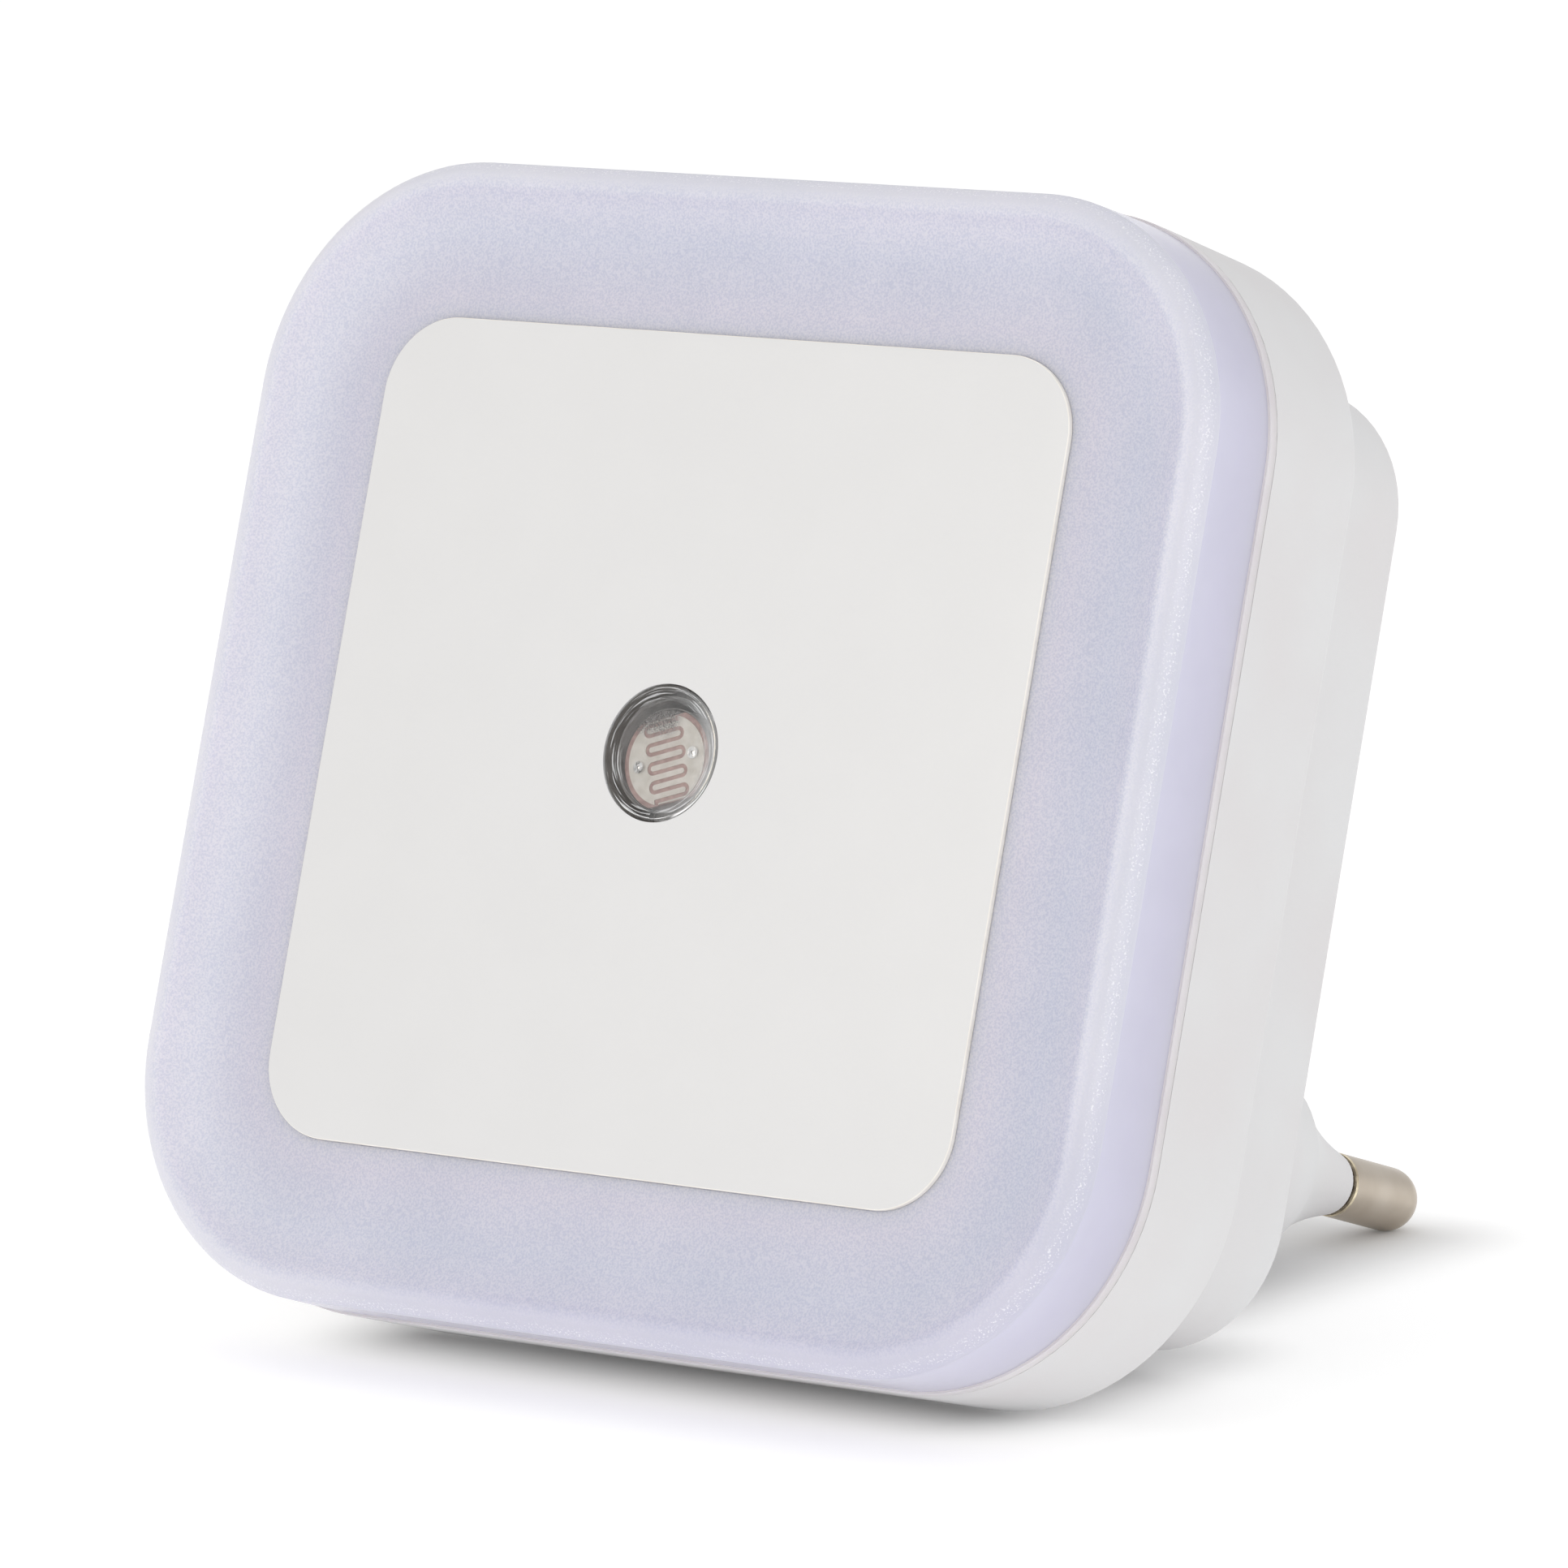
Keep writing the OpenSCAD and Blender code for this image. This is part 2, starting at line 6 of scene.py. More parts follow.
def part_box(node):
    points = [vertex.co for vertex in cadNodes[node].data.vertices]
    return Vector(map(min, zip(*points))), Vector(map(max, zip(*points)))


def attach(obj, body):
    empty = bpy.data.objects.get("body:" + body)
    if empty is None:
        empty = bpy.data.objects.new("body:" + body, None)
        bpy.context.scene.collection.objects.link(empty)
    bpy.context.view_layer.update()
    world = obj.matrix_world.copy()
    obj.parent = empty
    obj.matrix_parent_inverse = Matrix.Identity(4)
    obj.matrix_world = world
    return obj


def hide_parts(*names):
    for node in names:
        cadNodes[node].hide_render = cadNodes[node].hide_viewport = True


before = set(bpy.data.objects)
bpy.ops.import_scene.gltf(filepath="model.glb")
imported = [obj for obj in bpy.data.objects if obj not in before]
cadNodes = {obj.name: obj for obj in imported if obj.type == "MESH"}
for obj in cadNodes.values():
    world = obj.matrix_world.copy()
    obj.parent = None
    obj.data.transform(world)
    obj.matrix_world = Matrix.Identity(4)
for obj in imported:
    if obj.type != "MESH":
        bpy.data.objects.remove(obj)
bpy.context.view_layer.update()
mm = 0.001
print("frame loaded:", len(cadNodes), "nodes")


def boxOf(node):
    low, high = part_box(node)
    return low / mm, high / mm


crestToSeam = 7.1  # mm from the diffuser's crest back to the seam

# places taken from the frame, in mm
faceLow, faceHigh = boxOf("front_panel")
housingLow, housingHigh = boxOf("rear_housing")
faceY, faceZ = faceLow.y, (faceLow.z + faceHigh.z) / 2
seamY = boxOf("diffuser_frame")[0].y + crestToSeam
panelHalf = (faceHigh.x - faceLow.x) / 2
flangeHalf = (housingHigh.x - housingLow.x) / 2
print("face at", round(faceY, 2), "seam at", round(seamY, 2), "middle", round(faceZ, 2))

# finishes: colours are sRGB, sizes are mm. cloud is the size of the slow change from dark to light,
# grain the size of the fine structure that drives gloss and relief
finishes = {
    # spark-eroded mould: an even, dry sheen, its grain just under what the eye can part
    "polycarbonateWhite": {"dark": "#D7D5D6", "light": "#D9D9DA", "cloud": 9, "grain": 0.15,
                           "rough": (0.42, 0.56), "relief": 0.008, "shader": {"IOR": 1.58}},
    # opaque white plate, satin: nearly flat, so its broken edges catch a thin warm line
    "absWhiteSatin": {"dark": "#DBDBDC", "light": "#DCDCDD", "cloud": 5, "grain": 0.2,
                      "rough": (0.34, 0.44), "relief": 0.006, "shader": {"IOR": 1.54}},
    # its broken edge is smooth, and painted paler and warmer: a painted highlight, the thin warm line
    "absWhiteEdgeHighlighted": {"dark": "#EFEBE3", "light": "#F6F3EC", "cloud": 1.5, "grain": 0.3,
                        "rough": (0.14, 0.26), "relief": 0.01, "shader": {"IOR": 1.54}},
    # milky polycarbonate lets light in and out a millimetre away, which softens every edge.
    # Its wall is polished
    "polycarbonateMilkyPolished": {"dark": "#CBCADC", "light": "#CDCCDE", "cloud": 3, "grain": 0.5,
                                   "rough": (0.16, 0.24), "relief": 0.004, "milk": 1.6,
                                   "shader": {"IOR": 1.58}},
    # the same where it is thin over the white housing: paler and pinker
    "polycarbonateMilkyThin": {"dark": "#D2CDD1", "light": "#D8D4D7", "cloud": 4, "grain": 0.4,
                               "rough": (0.26, 0.34), "relief": 0.006, "milk": 0.8,
                               "shader": {"IOR": 1.58}},
    # the same with a bead-blasted grain on the face and over the rolled edge
    "polycarbonateMilkyGrained": {"dark": "#FAFBFC", "light": "#FFFFFF", "cloud": 7, "grain": 0.125,
                                  "rough": (0.27, 0.4), "relief": 0.02, "milk": 1.6,
                                  "shader": {"IOR": 1.58}},
    # clear acrylic: light passes and Fresnel gives the glints. Drawn streaks near the rim catch more of it
    "acrylicClear": {"dark": "#ECEDED", "light": "#FFFFFF", "cloud": 1.6, "grain": 0.5,
                     "rough": (0.03, 0.14), "relief": 0.02, "clear": 1.49, "shader": {"Metallic": 1.0}},
    # painted reflection: the side of a clear part is coloured as what it mirrors behind it: for the window
    # the grey sleeve, for the epoxy the tent
    "acrylicEdge": {"dark": "#BDB8B5", "light": "#D2CECB", "cloud": 0.9, "grain": 0.25,
                    "rough": (0.12, 0.35), "relief": 0.02, "shader": {"IOR": 1.49}},
    "epoxyEdge": {"dark": "#D5D5D6", "light": "#EDEDED", "cloud": 0.7, "grain": 0.2, "rough": (0.1, 0.3),
                  "relief": 0.02, "shader": {"IOR": 1.53, "Alpha": 0.7}},
    # clear epoxy flooded over the sensor: glassy, lumpy where it ran
    "epoxyClear": {"dark": "#E9E7E4", "light": "#FFFFFF", "cloud": 0.9, "grain": 0.3, "rough": (0.02, 0.12),
                   "relief": 0.03, "clear": 1.53, "shader": {"Metallic": 1.0}},
    # grey polystyrene sleeve round the sensor: dull, darker where the mould left it rough
    "polystyreneGrey": {"dark": "#AFA9A5", "light": "#C1BBB7", "cloud": 0.8, "grain": 0.15,
                        "rough": (0.35, 0.6), "relief": 0.02, "shader": {"IOR": 1.59}},
    # cadmium sulphide fired on ceramic: a dull brownish pink, sandy
    "cadmiumSulphideFired": {"dark": "#AE8A86", "light": "#CBAAA5", "cloud": 0.5, "grain": 0.08,
                             "rough": (0.5, 0.7), "relief": 0.01, "shader": {"IOR": 1.6}},
    # evaporated indium: pale and nearly matt, so that the winding gap reads as the darker line
    "indiumEvaporated": {"dark": "#E6E3DD", "light": "#F5F3EF", "cloud": 0.7, "grain": 0.1,
                         "rough": (0.35, 0.6), "relief": 0.004, "shader": {"Metallic": 0.1}},
    # tinned copper: bright and slightly lumpy where the solder set
    "copperTinned": {"dark": "#E8E6E2", "light": "#FAF9F6", "cloud": 0.3, "grain": 0.2,
                     "rough": (0.1, 0.25), "relief": 0.02, "shader": {"Metallic": 1.0}},
    # nickel plate on turned brass: warm grey, with faint rings from the lathe
    "brassNickelled": {"dark": "#BFB4A6", "light": "#C8BEB1", "cloud": 2.5, "grain": 0.12,
                       "rough": (0.28, 0.36), "relief": 0.001, "rings": 0.06, "shader": {"Metallic": 1.0}},
    # the plate wears through at the neck and the brass shows, painted dark for the shade in the groove
    "brassBareShaded": {"dark": "#6F6658", "light": "#9A8F7C", "cloud": 0.4, "grain": 0.1,
                  "rough": (0.2, 0.35), "relief": 0.006, "shader": {"Metallic": 1.0}},
    # painted highlight: the shoulder beside it is painted bright pale gold
    "brassHighlightPainted": {"dark": "#B9AC95", "light": "#FFF2D2", "cloud": 0.9, "grain": 0.1,
                    "rough": (0.1, 0.2), "relief": 0.002, "shader": {"Metallic": 1.0}},
    "brassStamped": {"dark": "#B89A5C", "light": "#CDB072", "cloud": 0.8, "grain": 0.3,
                     "rough": (0.25, 0.4), "relief": 0.01, "shader": {"Metallic": 1.0}},
    # zinc plate: bluish grey, slightly cloudy
    "steelZincPlated": {"dark": "#A9ABAE", "light": "#BDBFC2", "cloud": 0.9, "grain": 0.2,
                        "rough": (0.25, 0.4), "relief": 0.01, "shader": {"Metallic": 1.0}},
    # solder mask over woven glass, whose weave shows through as a faint square grid
    "glassEpoxyMasked": {"dark": "#2C6B45", "light": "#37794F", "weave": 0.6, "cloud": 3, "grain": 0.3,
                         "rough": (0.25, 0.35), "relief": 0.01, "shader": {"IOR": 1.55, "Coat Weight": 0.3}},
    # filled silicone over the lamp's die: a creamy, slightly soft surface
    "siliconeFilled": {"dark": "#E6E2C8", "light": "#F0ECD6", "cloud": 0.8, "grain": 0.2,
                       "rough": (0.3, 0.45), "relief": 0.01, "shader": {"IOR": 1.45}},
    # dipped epoxy draws itself glossy, with soft runs at the corners
    "epoxyDipped": {"dark": "#9A5A2C", "light": "#AE6A36", "cloud": 2, "grain": 0.9,
                    "rough": (0.2, 0.32), "relief": 0.03, "shader": {"IOR": 1.55}},
    # shrunk sleeve: even and slightly waxy
    "pvcShrunk": {"dark": "#24303E", "light": "#2E3B4B", "cloud": 2, "grain": 1.2,
                  "rough": (0.25, 0.35), "relief": 0.02, "shader": {"IOR": 1.53}},
    # moulded black epoxy: matt, with a fine grain
    "epoxyMoulded": {"dark": "#1C1C1E", "light": "#262628", "cloud": 1, "grain": 0.2,
                     "rough": (0.4, 0.6), "relief": 0.02, "shader": {"IOR": 1.55}},
    # sealed glass with the orange of the lead's oxide behind it
    "glassSealed": {"dark": "#B5603A", "light": "#CB7A50", "cloud": 0.7, "grain": 0.6,
                    "rough": (0.05, 0.15), "relief": 0.005, "shader": {"IOR": 1.5}},
    # flameproof lacquer: chalky green
    "lacquerFlameproof": {"dark": "#4E7F74", "light": "#5F9084", "cloud": 1, "grain": 0.3,
                          "rough": (0.35, 0.5), "relief": 0.02, "shader": {"IOR": 1.5}},
    "lacquerTan": {"dark": "#B99B72", "light": "#C8AC85", "cloud": 1, "grain": 0.3,
                   "rough": (0.35, 0.5), "relief": 0.02, "shader": {"IOR": 1.5}},
    # glaze over alumina: black and even
    "aluminaGlazed": {"dark": "#17181A", "light": "#222326", "cloud": 0.8, "grain": 0.3,
                      "rough": (0.3, 0.45), "relief": 0.01, "shader": {"IOR": 1.6}},
    # extruded wire covering: smooth along its length
    "pvcBrown": {"dark": "#5A3A26", "light": "#68452E", "cloud": 1.5, "grain": 0.6,
                 "rough": (0.35, 0.5), "relief": 0.01, "shader": {"IOR": 1.53}},
    "pvcBlue": {"dark": "#2E5C9A", "light": "#3869A8", "cloud": 1.5, "grain": 0.6,
                "rough": (0.35, 0.5), "relief": 0.01, "shader": {"IOR": 1.53}},
    # opal acrylic sheet lit from below, as on a product table: shadows stay short and pale. Beneath the
    # object its glow is dimmed, a painted shadow
    "acrylicOpalLit": {"dark": "#E6E6E6", "light": "#E9E9E9", "cloud": 60, "grain": 3,
                       "rough": (0.85, 0.95), "relief": 0.0, "shader": {"Emission Color": (1, 1, 1, 1)}},
}

# what the finishes share: the part of the slow noise over which dark turns to light, the detail of the
# fine noise, how much light comes out of milky plastic beside where it went in and how far by colour,
# and how unevenly the glass is woven
shared = {"turn": (0.35, 0.65), "fineDetail": 1.5, "milkShare": 0.5, "milkSpread": (1.0, 0.95, 1.1),
          "weaveSway": 0.5}


def toLinear(hexText):
    parts = [int(hexText[i:i + 2], 16) / 255 for i in (1, 3, 5)]
    return tuple(c / 12.92 if c <= 0.04045 else ((c + 0.055) / 1.055) ** 2.4 for c in parts) + (1.0,)


def addNode(tree, kind, inputs=None, stops=None, **settings):
    node = tree.nodes.new(kind)
    for name, value in settings.items():
        setattr(node, name, value)
    for name, value in (inputs or {}).items():
        if isinstance(value, bpy.types.NodeSocket):
            tree.links.new(value, node.inputs[name])
        else:
            node.inputs[name].default_value = value
    for index, (position, hexText) in enumerate(stops or []):
        elements = node.color_ramp.elements
        element = elements[index] if index < 2 else elements.new(position)
        element.position, element.color = position, toLinear(hexText)
    return node


def makeFinish(name):
    # returns the material and the parts of its tree that a piece may add to
    f = finishes[name]
    material = bpy.data.materials.new(name)
    material.use_nodes = True
    tree = material.node_tree
    tree.nodes.clear()
    shader = addNode(tree, "ShaderNodeBsdfPrincipled", f["shader"])
    addNode(tree, "ShaderNodeOutputMaterial", {"Surface": shader.outputs["BSDF"]})
    if "milk" in f:
        shader.inputs["Subsurface Weight"].default_value = shared["milkShare"]
        shader.inputs["Subsurface Scale"].default_value = f["milk"] * mm
        shader.inputs["Subsurface Radius"].default_value = shared["milkSpread"]
    if "clear" in f:
        gloss = addNode(tree, "ShaderNodeFresnel", {"IOR": f["clear"]}).outputs["Fac"]
        tree.links.new(gloss, shader.inputs["Alpha"])
    place = addNode(tree, "ShaderNodeTexCoord").outputs["Object"]
    cloud = addNode(tree, "ShaderNodeTexNoise", {
        "Vector": place, "Scale": 1 / (f["cloud"] * mm)
    }).outputs["Fac"]
    if "weave" in f:
        threads = [addNode(tree, "ShaderNodeTexWave", {
            "Vector": place, "Scale": 1 / (2 * math.pi * f["weave"] * mm), "Distortion": shared["weaveSway"]
        }, bands_direction=way).outputs["Fac"] for way in ("X", "Z")]
        cloud = addNode(tree, "ShaderNodeMath", {
            0: threads[0], 1: threads[1]
        }, operation="MULTIPLY").outputs["Value"]
    low, high = shared["turn"]
    colour = addNode(tree, "ShaderNodeValToRGB", {"Fac": cloud}, [(low, f["dark"]), (high, f["light"])])
    tree.links.new(colour.outputs["Color"], shader.inputs["Base Color"])
    drawn = place
    if "rings" in f:
        drawn = addNode(tree, "ShaderNodeMapping", {"Vector": place, "Scale": (f["rings"], 1, f["rings"])})
        drawn = drawn.outputs["Vector"]
    fine = addNode(tree, "ShaderNodeTexNoise", {
        "Vector": drawn, "Scale": 1 / (f["grain"] * mm), "Detail": shared["fineDetail"]
    }).outputs["Fac"]
    spread = addNode(tree, "ShaderNodeMapRange", {
        "Value": fine, "To Min": f["rough"][0], "To Max": f["rough"][1]
    })
    tree.links.new(spread.outputs["Result"], shader.inputs["Roughness"])
    if f["relief"]:
        bump = addNode(tree, "ShaderNodeBump", {
            "Height": fine, "Distance": f["relief"] * mm, "Strength": 1.0
        })
        tree.links.new(bump.outputs["Normal"], shader.inputs["Normal"])
    return material, tree, shader, place, colour.outputs["Color"], fine


def pastBox(tree, place, axes, middle, half):
    # how far a point lies outside a box seen along its third axis: 0 inside
    apart = addNode(tree, "ShaderNodeSeparateXYZ", {"Vector": place})
    past = []
    for axis, centre, reach in zip(axes, middle, half):
        value = apart.outputs[axis]
        steps = [("SUBTRACT", centre * mm), ("ABSOLUTE", 0.0), ("SUBTRACT", reach * mm), ("MAXIMUM", 0.0)]
        for how, other in steps:
            value = addNode(tree, "ShaderNodeMath", {0: value, 1: other}, operation=how).outputs["Value"]
        past.append(value)
    flat = addNode(tree, "ShaderNodeCombineXYZ", {"X": past[0], "Y": past[1]})
    far = addNode(tree, "ShaderNodeVectorMath", {0: flat.outputs["Vector"]}, operation="LENGTH")
    return far.outputs["Value"]


def deselectAll():
    if bpy.context.object and bpy.context.object.mode != "OBJECT":
        bpy.ops.object.mode_set(mode="OBJECT")
    bpy.ops.object.select_all(action="DESELECT")


def startPiece(name, materials):
    # the new primitive takes its place and opens in edit mode
    piece = bpy.context.object
    piece.name = name
    bpy.ops.object.transform_apply(location=True, rotation=True, scale=True)
    for material in materials:
        piece.data.materials.append(material)
    bpy.ops.object.mode_set(mode="EDIT")
    bpy.ops.mesh.select_mode(type="VERT")
    bpy.ops.mesh.select_all(action="SELECT")
    return piece


def startSquare(name, half, corner, y, materials, segments=28):
    # square face with round corners that looks into the room
    deselectAll()
    bpy.ops.mesh.primitive_plane_add(
        size=2 * half * mm, location=(0, y * mm, faceZ * mm), rotation=(math.pi / 2, 0, 0)
    )
    piece = startPiece(name, materials)
    bpy.ops.mesh.bevel(offset=corner * mm, segments=segments, affect="VERTICES")
    bpy.ops.mesh.select_mode(type="FACE")
    bpy.ops.mesh.select_all(action="SELECT")
    return piece


def startRound(name, radius, x, y, z, facing, materials, segments=96):
    # round face that looks into the room for facing -1 and to the wall for 1
    deselectAll()
    bpy.ops.mesh.primitive_circle_add(
        vertices=segments, radius=radius * mm, fill_type="NGON",
        location=(x * mm, y * mm, z * mm), rotation=(-facing * math.pi / 2, 0, 0)
    )
    piece = startPiece(name, materials)
    bpy.ops.mesh.select_mode(type="FACE")
    bpy.ops.mesh.select_all(action="SELECT")
    return piece


def step(inward, outward, slot=None):
    # one more ring on the selected face: in by the first, along its normal by the second
    if slot is not None:
        bpy.context.object.active_material_index = slot
        bpy.ops.object.material_slot_assign()
    bpy.ops.mesh.inset(thickness=inward * mm, depth=outward * mm, use_boundary=True, use_even_offset=True)


def stepAlong(points, slot=None):
    # the same through points of (half width, distance along the normal)
    for (half0, rise0), (half1, rise1) in zip(points, points[1:]):
        step(half0 - half1, rise1 - rise0, slot)


def turnAlong(x, z, points):
    # rings of (radius, y) one after the other from the selected round face
    for (radius0, y0), (radius1, y1) in zip(points, points[1:]):
        bpy.ops.mesh.extrude_region_move(TRANSFORM_OT_translate={"value": (0, (y1 - y0) * mm, 0)})
        if radius1 != radius0:
            scale = radius1 / radius0
            bpy.ops.transform.resize(value=(scale, 1, scale), center_override=(x * mm, y1 * mm, z * mm))


def arc(midHalf, midRise, radius, fromDeg, toDeg, count):
    turns = [math.radians(fromDeg + (toDeg - fromDeg) * i / count) for i in range(count + 1)]
    return [(midHalf + radius * math.cos(t), midRise + radius * math.sin(t)) for t in turns]


def closeBack():
    # fills the outline left open behind the first face and selects that new face alone
    bpy.ops.mesh.select_all(action="DESELECT")
    bpy.ops.mesh.select_mode(type="EDGE")
    bpy.ops.mesh.select_non_manifold(
        use_wire=False, use_multi_face=False, use_non_contiguous=False, use_verts=False
    )
    bpy.ops.mesh.edge_face_add()
    bpy.ops.mesh.select_mode(type="FACE")


def selectFaces(piece, wanted):
    bpy.ops.object.mode_set(mode="EDIT")
    bpy.ops.mesh.select_mode(type="FACE")
    bpy.ops.mesh.select_all(action="DESELECT")
    bpy.ops.object.mode_set(mode="OBJECT")
    for face in piece.data.polygons:
        face.select = wanted(face)
    bpy.ops.object.mode_set(mode="EDIT")


def endPiece(piece, node, smoothDeg=35):
    bpy.ops.object.mode_set(mode="OBJECT")
    deselectAll()
    piece.select_set(True)
    bpy.context.view_layer.objects.active = piece
    bpy.ops.object.shade_smooth_by_angle(angle=math.radians(smoothDeg))
    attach(piece, "root")
    if node:
        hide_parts(node)
    print("made", piece.name, len(piece.data.vertices), "points")


def drill(piece, radius, x, z, y0, y1, segments=96):
    # a round hole along Y
    bpy.ops.object.mode_set(mode="OBJECT")
    deselectAll()
    bpy.ops.mesh.primitive_cylinder_add(
        vertices=segments, radius=radius * mm, depth=(y1 - y0) * mm,
        location=(x * mm, (y0 + y1) / 2 * mm, z * mm), rotation=(math.pi / 2, 0, 0)
    )
    cutter = bpy.context.object
    bpy.context.view_layer.objects.active = piece
    hole = piece.modifiers.new("hole", "BOOLEAN")
    hole.object, hole.operation, hole.solver = cutter, "DIFFERENCE", "EXACT"
    bpy.ops.object.modifier_apply(modifier=hole.name)
    bpy.data.objects.remove(cutter)


# diffuser frame: flange, polished wall, rolled edge, grained face that dips to the front plate

diffuser = {
    "corner": 14.3, "flangeStep": 0.15, "flange": 0.6, "rollRadius": 1.5, "rise": 0.6,
    "dishHalf": 27.2, "proud": 0.3, "pocketRoom": 0.02, "pocketDepth": 1.0, "web": 1.2, "depth": 6.5,
    "wall": 2.6, "skirtRoom": 1.95, "skirt": 2.0, "seamFill": 0.06, "softEdge": 0.05, "dishSteps": 14,
    "rollSteps": 14, "dishPower": 1.7, "smoothDeg": 30,
    # the wall leans in a little towards the roll: how far in, with the distance in front of the seam
    "wallLean": [(0.0, 3.2), (0.01, 4.4)], "leanAtRoll": 0.03,
    # the window's hole is drilled from before the plate's face to behind the web
    "drillBefore": 1, "drillBehind": 4,
    # how the tint runs from the outer edge inwards, with painted highlight bands over the rolled edge in its
    # first fifth: its width, then share of that width with the colour
    "runWidth": 10,
    "tintAndHighlightRun": [(0.0, "#DDDCE6"), (0.025, "#DEDDE5"), (0.06, "#E0DFE6"), (0.085, "#DFDEE5"),
                (0.115, "#E2E1E8"), (0.16, "#DEDDE6"), (0.2, "#D8D6E2"), (0.45, "#D6D6E2"),
                (0.68, "#D8D6E1"), (0.82, "#DAD6E0"), (0.95, "#D6D4DE")],
    # painted light, as from the right: all but the left's outer part is a shade deeper: x where that begins
    # to show and where it is full, and how pale the left stays by share
    "deep": "#F3F4F7", "deepFrom": -28, "deepTo": -4, "pale": "#FFFFFF",
    "paleRun": [(0.08, "#A0A0A0"), (0.2, "#FFFFFF"), (0.4, "#FFFFFF"), (0.75, "#000000")],
    # painted light: along the top the pale part reaches further in: heights, and share with its strength
    "overFrom": 36, "overTo": 43,
    "over": [(0.1, "#000000"), (0.18, "#909090"), (0.27, "#DCDCDC"), (0.5, "#000000")],
    # painted shade: the roll along the bottom looks at the table and is painted a shade deeper: heights
    # where that starts and is full, and the shares between which the roll ends
    "under": "#F2F1F7", "underFrom": 2, "underTo": -14, "rollEnd": (0.22, 0.16),
    # the grain sets in over the rolled edge, and its pits hold a little painted shade
    "grainFrom": 0.09, "grainTo": 0.18, "grainLeast": 0.12, "pits": [(0.38, "#ECEFF6"), (0.6, "#FFFFFF")],
    # painted sparkle: a few of its tops are painted brighter where the roll meets the wall: shares, their
    # soft ends, the tops' noise
    "sparkleFrom": 0.02, "sparkleTo": 0.09, "sparkleSoft": (0.01, 0.04), "tops": (0.58, 0.68),
    "sparkle": 0.55, "sparkleHex": "#FBFBFF",
    # painted shade: the wall darkens a shade towards the housing, where less light comes through: mm in
    # front of the seam, then share and shade
    "fallFrom": 5.6, "fallTo": 0.5,
    "fall": [(0.0, "#FFFFFF"), (0.45, "#F8F7F9"), (0.8, "#F3F2F3"), (1.0, "#F1F0ED")],
}


